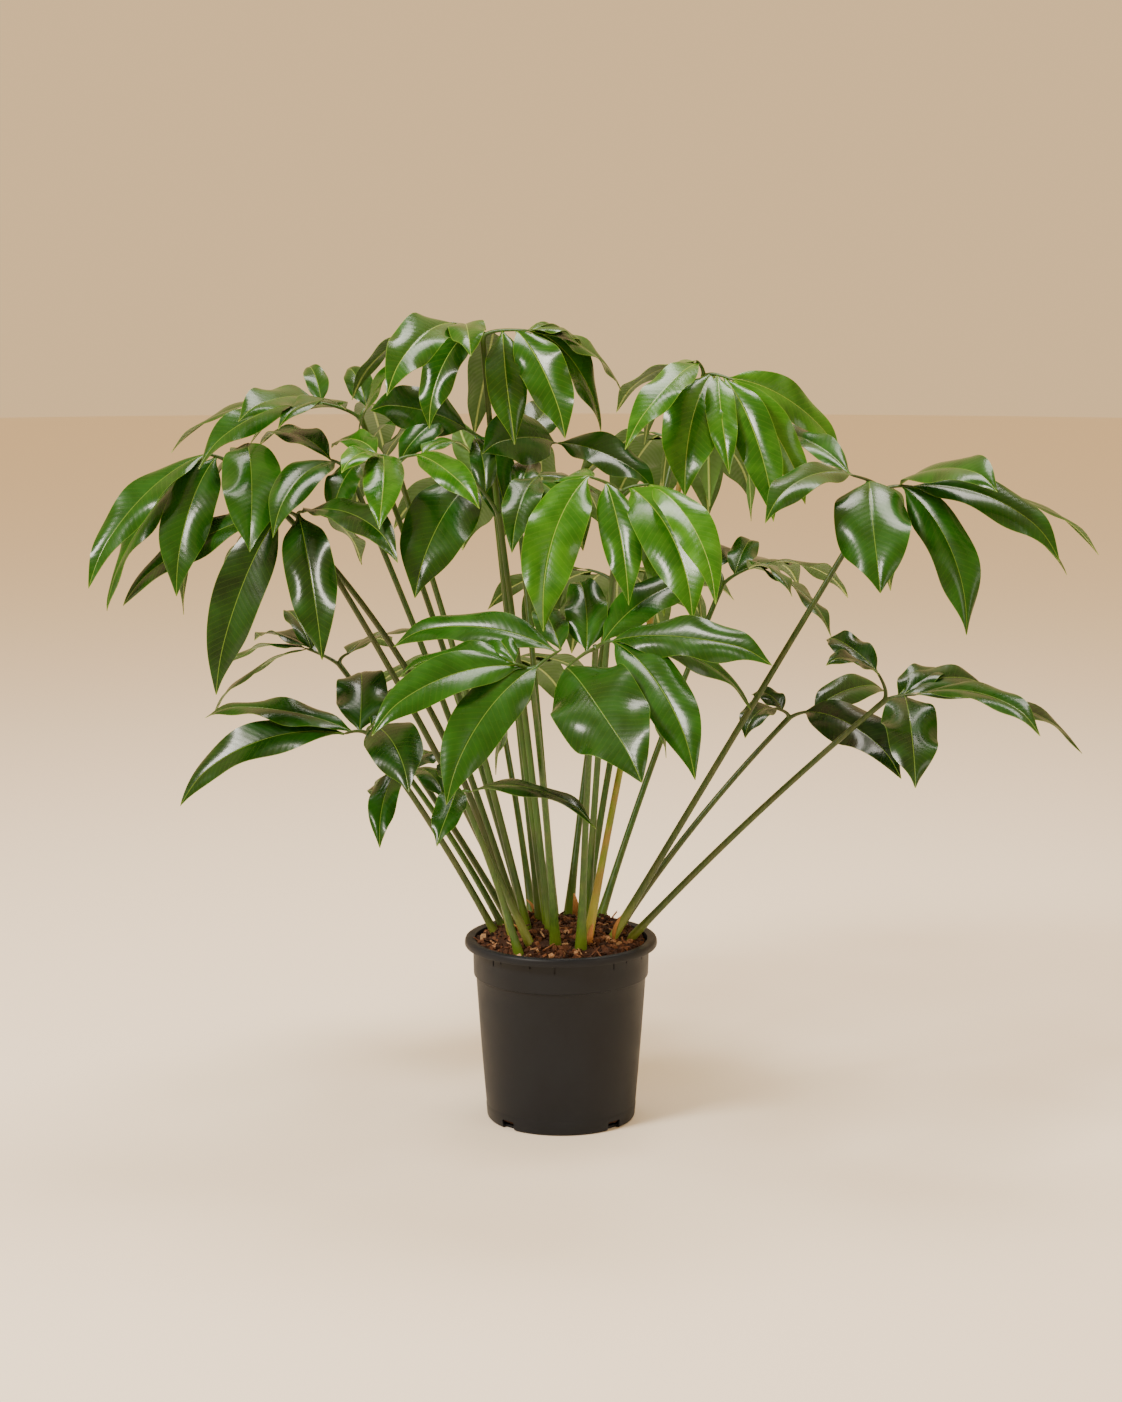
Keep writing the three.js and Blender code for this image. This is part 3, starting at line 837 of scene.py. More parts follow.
LEAVES = (
    Leaf(
        "crown", (-14, 4), (-95, 0, 980), -12, ((-40, -30, 10), (60, -20, 0)), FRONT, 0.34,
        (
            (RIGHT, 0.05, (-15, 140, -130), 44, 0.3), (RIGHT, 0.35, (40, -72, -126), 45, 0.9),
            (RIGHT, 0.7, (100, -78, -118), 52, 0.9), (RIGHT, 1, (145, 105, -120), 46, 0.8),
            (RIGHT, 0.9, (170, 110, -70), 40, 0.5), (RIGHT, 1, (120, 45, -15), 26, 0.3),
            (LEFT, 0.2, (-62, -60, -108), 42, 0.6), (LEFT, 0.5, (-10, -130, -20), 42, 0.7),
            (LEFT, 0.85, (-105, -180, -60), 52, 0.9), (LEFT, 1, (-155, 50, -120), 42, 0.5),
            (LEFT, 0.95, (-165, 90, -80), 36, 0.2),
        ),
    ),
    Leaf(
        "upper_middle", (-24, 28), (-90, 60, 845), 0, ((-70, -10, 30), (90, -10, -5)), FRONT, 0.42,
        (
            (RIGHT, 0.95, (-4, -100, -5), 66, 0.9), (RIGHT, 0.5, (80, 85, 35), 44, 0.8),
            (RIGHT, 1, (205, -60, -55), 50, 0.6), (RIGHT, 0.75, (70, 80, -90), 36, 0.5),
            (LEFT, 0.1, (20, -25, -115), 48, 0.9), (LEFT, 0.3, (-140, -70, 45), 54, 0.9),
            (LEFT, 0.6, (-150, 100, 0), 42, 0.3), (LEFT, 0.8, (-105, -95, -20), 36, 0.8),
            (LEFT, 1, (-135, 65, -35), 34, 0.3),
        ),
    ),
    Leaf(
        "small_left", (-38, 2), (-200, -60, 830), 14, ((-20, -5, 5), (35, -5, 5)), FRONT, 0.52,
        (
            (LEFT, 0.6, (-10, -125, -65), 46, 0.9), (LEFT, 1, (-80, 75, 12), 32, 0.5),
            (LEFT, 0.9, (-55, -90, -5), 30, 0.5), (RIGHT, 0.8, (105, -95, -45), 36, 0.7),
            (RIGHT, 1, (90, 90, 5), 28, 0.2),
        ),
    ),
    Leaf(
        "inner_front", (-12, -22), (-75, -40, 765), 4, ((-30, -20, 40), (50, -20, 45)), FRONT, 0.38,
        (
            (LEFT, 1, (-95, -135, -80), 74, 1), (LEFT, 0.5, (-30, 45, 88), 30, 0.6),
            (RIGHT, 0.5, (40, 90, 55), 32, 0.5), (RIGHT, 1, (18, -130, -30), 40, 0.8),
            (RIGHT, 0.9, (95, -125, -30), 40, 0.6), (RIGHT, 1, (120, 100, 0), 38, 0.3),
        ),
    ),
    Leaf(
        "bright_middle", (30, -4), (70, -120, 800), 10, ((-40, -10, 15), (35, -10, 5)), FRONT, 0.58,
        (
            (LEFT, 1, (-90, -115, -145), 62, 1), (LEFT, 0.4, (8, -90, -120), 44, 0.9),
            (RIGHT, 0.2, (80, -125, -130), 66, 1), (RIGHT, 1, (105, -145, -110), 44, 0.6),
            (RIGHT, 0.5, (55, 85, -155), 46, 0.8), (RIGHT, 0.8, (100, 55, -165), 42, 0.4),
            (LEFT, 0.8, (-85, 110, -25), 38, 0.4),
        ),
    ),
    Leaf(
        "upper_right", (30, -44), (175, 20, 930), 8, ((-12, -22, 14), (34, -22, -10)), FRONT, 0.62,
        (
            (LEFT, 0.5, (-105, 145, -50), 38, 0.2), (LEFT, 0.7, (-100, -155, -75), 40, 0.5),
            (LEFT, 1, (-70, 130, -90), 36, 0.4), (LEFT, 0.9, (-48, 80, -140), 40, 0.5),
            (RIGHT, 0.05, (-28, -110, -135), 64, 1), (RIGHT, 0.4, (25, -105, -110), 34, 0.3),
            (RIGHT, 0.2, (12, 90, -165), 42, 0.5), (RIGHT, 0.7, (62, 55, -180), 42, 0.5),
            (RIGHT, 0.65, (78, -100, -165), 48, 0.9), (RIGHT, 1, (120, -50, -150), 44, 0.8),
            (RIGHT, 0.85, (172, 50, -105), 46, 0.7),
        ),
    ),
    Leaf(
        "far_right", (54, -34), (390, -30, 795), 0, ((-45, -20, 15), (36, -20, 0)), FRONT, 0.42,
        (
            (LEFT, 0.4, (-18, -140, -105), 84, 1), (RIGHT, 0.4, (112, -160, 15), 56, 0.4),
            (RIGHT, 0.85, (195, -110, -70), 48, 0.6), (RIGHT, 0.55, (90, -95, -160), 55, 0.9),
            (RIGHT, 1, (265, 20, -75), 40, 0.2), (RIGHT, 0.95, (235, 65, -105), 38, 0.3),
            (RIGHT, 0.1, (25, 130, -135), 42, 0.4), (LEFT, 1, (-150, 130, 55), 38, 0.4),
            (LEFT, 0.95, (-155, -165, -20), 42, 0.5), (LEFT, 0.85, (-125, 145, -40), 38, 0.2),
        ),
    ),
    Leaf(
        "low_right", (76, -16), (395, -80, 545), 12, ((-15, 10, 30), (32, -20, 6)), FRONT, 0.25,
        (
            (LEFT, 1, (-68, 100, 60), 36, 0.6), (LEFT, 0.85, (-82, -60, 52), 26, 0.3),
            (RIGHT, 0.2, (78, 75, 22), 36, 0.4), (RIGHT, 0.4, (130, 72, 2), 42, 0.4),
            (RIGHT, 0.75, (235, 5, -60), 42, 0.2), (RIGHT, 1, (155, -165, -10), 40, 0.3),
            (RIGHT, 0.5, (15, -150, -75), 60, 1),
        ),
    ),
    Leaf(
        "low_right_inner", (62, 16), (290, 60, 500), 16, ((-25, -10, 10), (26, -10, 6)), FRONT, 0.18,
        (
            (RIGHT, 0.5, (120, -150, -45), 56, 0.8), (RIGHT, 1, (125, 85, 22), 42, 0.5),
            (LEFT, 0.5, (-48, 50, 20), 26, 0.3), (LEFT, 1, (-65, -90, -10), 34, 0.5),
        ),
    ),
    Leaf(
        "back_right", (42, 36), (210, 180, 655), 14, ((-8, 20, 12), (36, 6, 16)), BACK_RIGHT, 0.3,
        (
            (LEFT, 1, (-22, 135, 40), 50, 0.3), (LEFT, 0.5, (-70, 110, -20), 44, 0.4),
            (RIGHT, 0.3, (42, 90, 45), 34, 0.3), (RIGHT, 1, (172, 125, -30), 42, 0.2),
            (RIGHT, 0.7, (110, 175, -20), 48, 0.4), (RIGHT, 0.9, (78, -120, 0), 36, 0.3),
            (RIGHT, 1, (128, -115, -50), 38, 0.3),
        ),
    ),
    Leaf(
        "upper_left", (-40, 46), (-250, 80, 875), 16, ((-50, -20, 15), (14, 22, 10)), FRONT, 0.36,
        (
            (LEFT, 1, (-130, -180, 10), 50, 0.6), (LEFT, 0.9, (-185, -125, -50), 44, 0.4),
            (LEFT, 1, (-235, 5, -40), 40, 0.2), (LEFT, 0.3, (-150, 120, -40), 42, 0.3),
            (LEFT, 0.2, (-85, -165, 0), 38, 0.2), (LEFT, 0.95, (-68, 50, 58), 26, 0.4),
            (RIGHT, 0.6, (-20, 80, 55), 32, 0.6), (RIGHT, 1, (20, 190, -60), 46, 0.3),
        ),
    ),
    Leaf(
        "middle_left", (-46, 24), (-260, 0, 815), 16, ((-20, -10, 10), (15, -10, 5)), FRONT, 0.34,
        (
            (LEFT, 1, (-120, 140, 25), 40, 0.3), (LEFT, 0.6, (-75, -165, -60), 44, 0.7),
            (RIGHT, 1, (-12, -80, -50), 36, 0.6), (RIGHT, 0.4, (0, 140, -60), 42, 0.3),
        ),
    ),
    Leaf(
        "left", (-32, -58), (-318, -60, 765), 20, ((-16, -12, 2), (12, -12, 2)), FRONT, 0.26,
        (
            (LEFT, 1, (-95, -35, -205), 56, 0.9), (RIGHT, 0.1, (38, -100, -155), 56, 1),
            (RIGHT, 1, (130, -145, -35), 44, 0.5), (LEFT, 0.8, (-125, 120, -50), 48, 0.6),
            (LEFT, 0.9, (-115, 100, -120), 42, 0.5), (LEFT, 0.95, (-220, 70, -110), 46, 0.6),
            (RIGHT, 0.7, (70, 130, -70), 44, 0.4),
        ),
    ),
    Leaf(
        "far_left", (-58, -16), (-410, 10, 825), 105, ((-22, -12, 6), (32, -22, 20)), FRONT, 0.4,
        (
            (LEFT, 0.35, (-50, -90, -150), 56, 1), (LEFT, 1, (-150, -120, -135), 44, 0.4),
            (LEFT, 0.9, (-145, -20, -175), 42, 0.4), (LEFT, 0.75, (-150, 60, -165), 40, 0.3),
            (RIGHT, 1, (45, -150, -90), 68, 1), (RIGHT, 0.45, (-62, 60, -190), 42, 0.4),
            (RIGHT, 0.6, (20, 155, -70), 44, 0.3),
        ),
    ),
    Leaf(
        "back_left", (-56, 56), (-290, 180, 550), 14, ((-42, 6, 16), (18, 6, 10)), BACK_LEFT, 0.24,
        (
            (LEFT, 0.6, (-115, 85, 20), 40, 0.2), (LEFT, 1, (-155, 70, -15), 38, 0.2),
            (LEFT, 0.95, (-158, -25, -60), 36, 0.2), (LEFT, 0.8, (-74, 70, 60), 30, 0.5),
            (RIGHT, 1, (135, 60, 30), 36, 0.1), (RIGHT, 0.8, (65, 130, 5), 42, 0.3),
        ),
    ),
    Leaf(
        "low_left", (-76, 8), (-240, -20, 495), 10, ((-26, -12, -4), (12, -12, 6)), FRONT, 0.26,
        (
            (LEFT, 0.15, (-12, 105, 60), 60, 0.7), (LEFT, 0.6, (-200, 30, 18), 44, 0.3),
            (LEFT, 1, (-225, -30, -80), 50, 0.5), (RIGHT, 1, (60, -135, -45), 62, 0.8),
            (RIGHT, 0.6, (60, 130, 20), 42, 0.3),
        ),
    ),
    Leaf(
        "low_left_inner", (-66, 30), (-195, 60, 425), 10, ((-16, -2, 2), (12, -2, 6)), FRONT, 0.3,
        (
            (LEFT, 1, (-45, 70, -45), 36, 0.6), (LEFT, 0.6, (-28, -95, -70), 34, 0.5),
            (RIGHT, 1, (52, -85, -15), 34, 0.4), (RIGHT, 0.5, (30, 90, 10), 36, 0.4),
        ),
    ),
    Leaf(
        "lowest_front", (-50, -74), (-120, -130, 440), 8, ((-6, -2, 6), (12, -8, 0)), FRONT, 0.22,
        (
            (RIGHT, 1, (160, -140, -8), 36, 0.2), (LEFT, 0.5, (-25, -85, -45), 34, 0.6),
            (LEFT, 1, (-8, 78, 22), 36, 0.6),
        ),
    ),
    Leaf(
        "front_left", (-6, -56), (-35, -260, 605), 26, ((-18, -16, 10), (36, 12, 22)), FRONT, 0.42,
        (
            (LEFT, 0.4, (-175, -95, -50), 50, 0.7), (RIGHT, 0.1, (-92, -110, -125), 58, 0.9),
            (RIGHT, 0.9, (-160, 75, 25), 46, 0.5), (LEFT, 0.85, (-150, 25, -5), 44, 0.4),
            (LEFT, 1, (-45, 50, 35), 26, 0.4), (RIGHT, 1, (10, 105, 58), 36, 0.6),
            (LEFT, 0.1, (-42, 85, -130), 44, 0.6),
        ),
    ),
    Leaf(
        "front_right", (24, -66), (40, -230, 630), 24, ((-35, -20, -25), (22, -12, 6)), FRONT, 0.42,
        (
            (LEFT, 0.2, (-20, 100, 66), 48, 0.8), (RIGHT, 0.2, (135, 115, 62), 46, 0.5),
            (RIGHT, 0.85, (195, -100, 0), 52, 0.6), (LEFT, 1, (48, -190, -115), 92, 1),
            (RIGHT, 0.9, (108, -150, -120), 56, 0.8), (RIGHT, 0.95, (85, 90, -140), 46, 0.6),
            (RIGHT, 1, (142, 110, -45), 44, 0.4), (RIGHT, 0.8, (182, 45, -75), 44, 0.5),
        ),
    ),
    Leaf(
        "back_inner", (-8, 46), (-60, 265, 770), 26, ((-40, 14, 14), (42, 18, 10)), BACK, 0.34,
        (
            (LEFT, 1, (-165, 95, -60), 46, 0.4), (LEFT, 0.8, (-130, 150, -75), 52, 0.7),
            (LEFT, 0.5, (-75, 165, -95), 56, 0.9), (LEFT, 0.1, (-20, 175, -80), 58, 0.9),
            (RIGHT, 0.4, (40, 165, -105), 56, 0.9), (RIGHT, 0.75, (90, 150, -95), 50, 0.8),
            (RIGHT, 1, (135, 100, -85), 44, 0.5), (LEFT, 0.7, (-75, 30, 90), 36, 0.5),
        ),
    ),
    Leaf(
        "back_middle", (8, 74), (70, 330, 640), 24, ((-38, 16, 10), (38, 16, 12)), BACK, 0.3,
        (
            (LEFT, 1, (-170, 70, -45), 44, 0.4), (LEFT, 0.75, (-120, 125, -90), 52, 0.8),
            (LEFT, 0.4, (-55, 145, -115), 56, 0.9), (RIGHT, 0.1, (15, 155, -105), 60, 1),
            (RIGHT, 0.5, (70, 145, -100), 54, 0.9), (RIGHT, 0.8, (130, 110, -75), 46, 0.7),
            (RIGHT, 1, (165, 50, -30), 42, 0.3),
        ),
    ),
    Leaf(
        "back_upper", (28, 58), (150, 230, 830), 24, ((-34, 20, 10), (36, 14, 12)), BACK, 0.4,
        (
            (LEFT, 1, (-130, 110, -65), 44, 0.5), (LEFT, 0.7, (-80, 150, -95), 52, 0.8),
            (LEFT, 0.2, (-20, 170, -100), 58, 1), (RIGHT, 0.4, (50, 160, -105), 56, 0.9),
            (RIGHT, 0.75, (105, 135, -85), 50, 0.7), (RIGHT, 1, (165, 85, -50), 44, 0.4),
        ),
    ),
    Leaf(
        "back_low", (-34, 76), (-95, 345, 520), 26, ((-36, 14, 10), (36, 16, 8)), BACK, 0.26,
        (
            (LEFT, 1, (-165, 45, -40), 42, 0.3), (LEFT, 0.7, (-115, 110, -75), 50, 0.8),
            (LEFT, 0.2, (-40, 140, -100), 56, 0.9), (RIGHT, 0.4, (35, 140, -95), 56, 0.9),
            (RIGHT, 0.8, (100, 110, -70), 48, 0.6), (RIGHT, 1, (140, 45, -25), 40, 0.3),
        ),
    ),
)

YOUNG_LEAVES = ("crown", "bright_middle", "upper_right", "small_left")
AGEING_STALKS = ("upper_right",)
DARK_STALKS = ("far_left", "left", "far_right", "low_right", "low_left", "low_right_inner", "back_left")


@dataclass
class Rods:
    """Round, tapering rods for the stalks and the arms, bent from one template."""

    sides: int = 12
    rings: int = 26
    template: bpy.types.Object | None = None

    def build_template(self) -> None:
        """Extrudes a circle ring by ring into a closed rod, one unit long and one in radius."""
        deselect()
        bpy.ops.mesh.primitive_circle_add(vertices=self.sides, radius=1.0, fill_type="NGON")
        rod = bpy.context.active_object
        rod.name = f"rod_template_{self.rings}"
        bpy.ops.object.mode_set(mode="EDIT")
        bpy.ops.mesh.select_all(action="SELECT")
        for _ in range(self.rings):
            bpy.ops.mesh.extrude_region_move(
                TRANSFORM_OT_translate={"value": (0, 0, 1 / self.rings)}
            )
        bpy.ops.mesh.select_all(action="SELECT")
        bpy.ops.mesh.normals_make_consistent(inside=False)
        bpy.ops.object.mode_set(mode="OBJECT")
        settle(rod)
        self.template = rod

    def bend(
        self,
        name: str,
        line: list[np.ndarray],
        radius: Callable[[np.ndarray], np.ndarray],
        side: np.ndarray,
        widen: Callable[[np.ndarray], np.ndarray] | None = None,
    ) -> bpy.types.Object:
        """Bends a copy of the template along a flat curve.

        Args:
            name: the new object's name.
            line: the curve's control points, in millimetres.
            radius: the rod's radius at each share of its length, in millimetres.
            side: a unit vector square to the curve's plane.
            widen: how much wider than deep the rod is at each share, or None for round.

        Returns:
            The bent rod.
        """
        unit_rod = coordinates(self.template.data)
        shares = np.clip(unit_rod[:, 2], 0, 1)
        centre = bezier(line, shares)
        depth = np.cross(np.broadcast_to(side, centre.shape), bezier_direction(line, shares))
        size = radius(shares)
        wide = size * (widen(shares) if widen else 1.0)
        points = (
            centre
            - side * (unit_rod[:, 0] * wide)[:, None]
            + depth * (unit_rod[:, 1] * size)[:, None]
        )
        made = copy_of(self.template, name, points * MM)
        write_attribute(made.data, "rise", "FLOAT", shares)
        return made


@dataclass
class Stalk:
    """One leaf stalk, with the flattened sheath at its foot and the knuckle under its fork."""

    leaf: Leaf
    foot_radius: float = 4.7
    top_radius: float = 3.3
    sheath_flare: float = 1.5
    sheath_width: float = 0.28
    knuckle: float = 0.7

    def build(self, rods: Rods, skin: bpy.types.Material) -> bpy.types.Object:
        """Builds and dresses the stalk.

        Args:
            rods: the maker of bent rods.
            skin: the stalk's material.

        Returns:
            The finished piece.
        """
        line = self.leaf.stalk_line(2.0)
        side = unit(np.cross(line[2] - line[0], line[1] - line[0] + (0.001, 0.002, 0)))
        if abs(self.leaf.bow) < 1:
            side = unit(np.cross(UP, (line[2] - line[0]) * (1, 1, 0)))
        stalk = rods.bend(
            f"stalk_{self.leaf.name}_skin",
            line,
            lambda t: self.foot_radius
            + (self.top_radius - self.foot_radius) * t**0.8
            + self.sheath_flare * swell(t, 0.0, 0.09)
            + self.knuckle * swell(t, 0.985, 0.018),
            side,
            lambda t: 1 + self.sheath_width * (1 - ramp(t, 0.02, 0.28)),
        )
        dress(stalk, skin)
        smooth(stalk, 60)
        hand_over(stalk, "stalk", f"stalk_{self.leaf.name}")
        return stalk


@dataclass
class Foliage:
    """The leaf blades: arms with leaflets, each leaflet bent from one flat template."""

    columns: int = 14
    rows: int = 30
    gather: float = 1.35
    thickness: float = 0.8
    arch: float = 0.15
    handles: tuple[float, float] = (0.3, 0.75)
    lift_up: float = 0.8
    lift_out: float = 0.6
    arm_start: float = 3.1
    arm_end: float = 1.5
    spread: float = 1.12  # how much wider than the leaf's table says, before the fold narrows it
    twist: float = 26.0  # degrees
    fold: tuple[float, float] = (0.22, 0.48)
    waves: tuple[float, float] = (1.6, 2.6)
    wave_depth: tuple[float, float] = (0.07, 0.14)
    sickle: float = 0.045
    hook: float = 0.05
    seed: int = 41
    stations: tuple[float, ...] = (
        0, 0.04, 0.1, 0.18, 0.28, 0.4, 0.5, 0.6, 0.7, 0.8, 0.88, 0.94, 0.98, 1,
    )
    outline: tuple[float, ...] = (
        0.06, 0.12, 0.4, 0.72, 0.92, 1, 1, 0.95, 0.83, 0.6, 0.35, 0.16, 0.06, 0.01,
    )
    template: bpy.types.Object | None = None
    flat: np.ndarray = field(default_factory=lambda: np.zeros((0, 3)))

    def build_template(self) -> None:
        """Makes the flat grid that every leaflet starts from, one unit wide and long."""
        deselect()
        bpy.ops.mesh.primitive_grid_add(
            x_subdivisions=self.columns, y_subdivisions=self.rows, size=1.0
        )
        self.template = bpy.context.active_object
        self.template.name = "leaflet_template"
        self.flat = coordinates(self.template.data)

    def half_width(self, shares: np.ndarray) -> np.ndarray:
        """A leaflet's outline: its half width at each share of its length, 1 at its widest."""
        slopes = np.gradient(np.array(self.outline), np.array(self.stations))
        place = np.clip(np.searchsorted(self.stations, shares, side="right") - 1, 0, 12)
        start = np.take(self.stations, place)
        span = np.take(self.stations, place + 1) - start
        t = (shares - start) / span
        low, high = np.take(self.outline, place), np.take(self.outline, place + 1)
        rise, fall = np.take(slopes, place) * span, np.take(slopes, place + 1) * span
        curve = (
            low * (2 * t**3 - 3 * t**2 + 1)
            + rise * (t**3 - 2 * t**2 + t)
            + high * (3 * t**2 - 2 * t**3)
            + fall * (t**3 - t**2)
        )
        return np.maximum(curve, 0.008)

    def leaflet(self, leaf: Leaf, number: int, stuff: list[bpy.types.Material]) -> bpy.types.Object:
        """Bends one leaflet: arched along its length, folded at its midrib, with a wavy edge.

        Args:
            leaf: the leaf that it belongs to.
            number: its place in the leaf's list.
            stuff: the materials of its upper side and underside.

        Returns:
            The leaflet as an open sheet, upper side out.
        """
        side, place, tip_from_hub, width, turn = leaf.leaflets[number]
        dice = random.Random(f"{self.seed} {leaf.name} {number}")
        base = leaf.arm_point(side, place)
        tip = np.array(leaf.hub) + tip_from_hub
        chord = tip - base
        length = float(np.linalg.norm(chord))
        along = chord / length
        outward = unit(chord * (1, 1, 0))
        lift = self.lift_up * UP + self.lift_out * outward
        bulge = unit(lift - along * (lift @ along))
        arch = self.arch * dice.uniform(0.9, 1.1)
        spine = [
            base,
            base + self.handles[0] * chord + bulge * arch * length,
            base + self.handles[1] * chord + bulge * 0.8 * arch * length,
            tip,
        ]
        facing = lift * (1 - turn) + np.array(leaf.faces.value) * turn
        share = self.flat[:, 1] + 0.5
        across_share = self.flat[:, 0] * 2
        across_share = np.sign(across_share) * np.abs(across_share) ** self.gather
        out = np.abs(across_share)
        centre = bezier(spine, share)
        tangent = bezier_direction(spine, share)
        lead = unit(np.cross(along, facing))
        across = unit(lead - tangent * (tangent @ lead)[:, None])
        normal = np.cross(across, tangent)
        twist = math.radians(dice.uniform(-self.twist, self.twist)) * (share - 0.3)[:, None]
        across, normal = (
            across * np.cos(twist) + normal * np.sin(twist),
            normal * np.cos(twist) - across * np.sin(twist),
        )
        half = width / 2 * self.spread * self.half_width(share)
        fold = dice.uniform(*self.fold)
        droop = fold * dice.uniform(0.7, 1.15)
        rounded = half * (fold * out - droop * out**2.2)
        waves = dice.uniform(*self.waves)
        depth = dice.uniform(*self.wave_depth) * width * np.sin(math.pi * share) ** 0.7
        phase = np.where(across_share < 0, dice.uniform(0, 1), dice.uniform(0, 1))
        ripple = depth * out**2.4 * np.sin(2 * math.pi * (waves * share + phase))
        sickle = dice.uniform(-self.sickle, self.sickle) * length * np.sin(math.pi * share)
        hook = self.hook * length * ramp(share, 0.72, 1.05) ** 1.5
        points = (
            centre
            + across * (across_share * half * np.cos(fold * 0.8) + sickle)[:, None]
            + normal * (rounded + ripple)[:, None]
            - UP * hook[:, None]
        )
        made = copy_of(self.template, f"leaflet_{number}", points * MM)
        blade = np.stack((across_share * half, share * length, (1 - out) * half), axis=1)
        # Each leaflet's tint is its leaf's tone, painted light included, changed a little at random.
        tone = leaf.tone + dice.uniform(-0.1, 0.1)
        write_attribute(made.data, "blade", "FLOAT_VECTOR", blade * MM)
        write_attribute(made.data, "tint", "FLOAT", np.full(len(share), tone))
        for material in stuff:
            made.data.materials.append(material)
        return made

    def blade(
        self, leaf: Leaf, rods: Rods, stuff: list[bpy.types.Material], skin: bpy.types.Material
    ) -> bpy.types.Object:
        """Builds one whole leaf blade with its two arms.

        Args:
            leaf: the leaf.
            rods: the maker of the arms.
            stuff: the materials of the leaflets' upper side and underside.
            skin: the arms' material.

        Returns:
            The finished piece.
        """
        sheets = [self.leaflet(leaf, i, stuff) for i in range(len(leaf.leaflets))]
        sheet = join(sheets, "sheet")
        apply_modifier(
            sheet,
            "SOLIDIFY",
            {
                "thickness": self.thickness * MM,
                "offset": -1.0,
                "material_offset": 1,
                "material_offset_rim": 1,
            },
        )
        arms = []
        for side in Side:
            line = leaf.arm_line(side)
            square = unit(np.cross(line[1] - line[0], line[2] - line[1]))
            arm = rods.bend(
                f"arm_{side.name}",
                line,
                lambda t: (self.arm_start + (self.arm_end - self.arm_start) * t)
                * (1 - 0.8 * ramp(t, 0.93, 1.02)),
                square,
            )
            dress(arm, skin)
            arms.append(arm)
        made = join([sheet, *arms], f"blade_{leaf.name}_leaflets")
        smooth(made, 50)
        slot = "young_leaf" if leaf.name in YOUNG_LEAVES else "leaf"
        hand_over(made, slot, f"blade_{leaf.name}")
        return made


# ---- the pot ---------------------------------------------------------------------------------


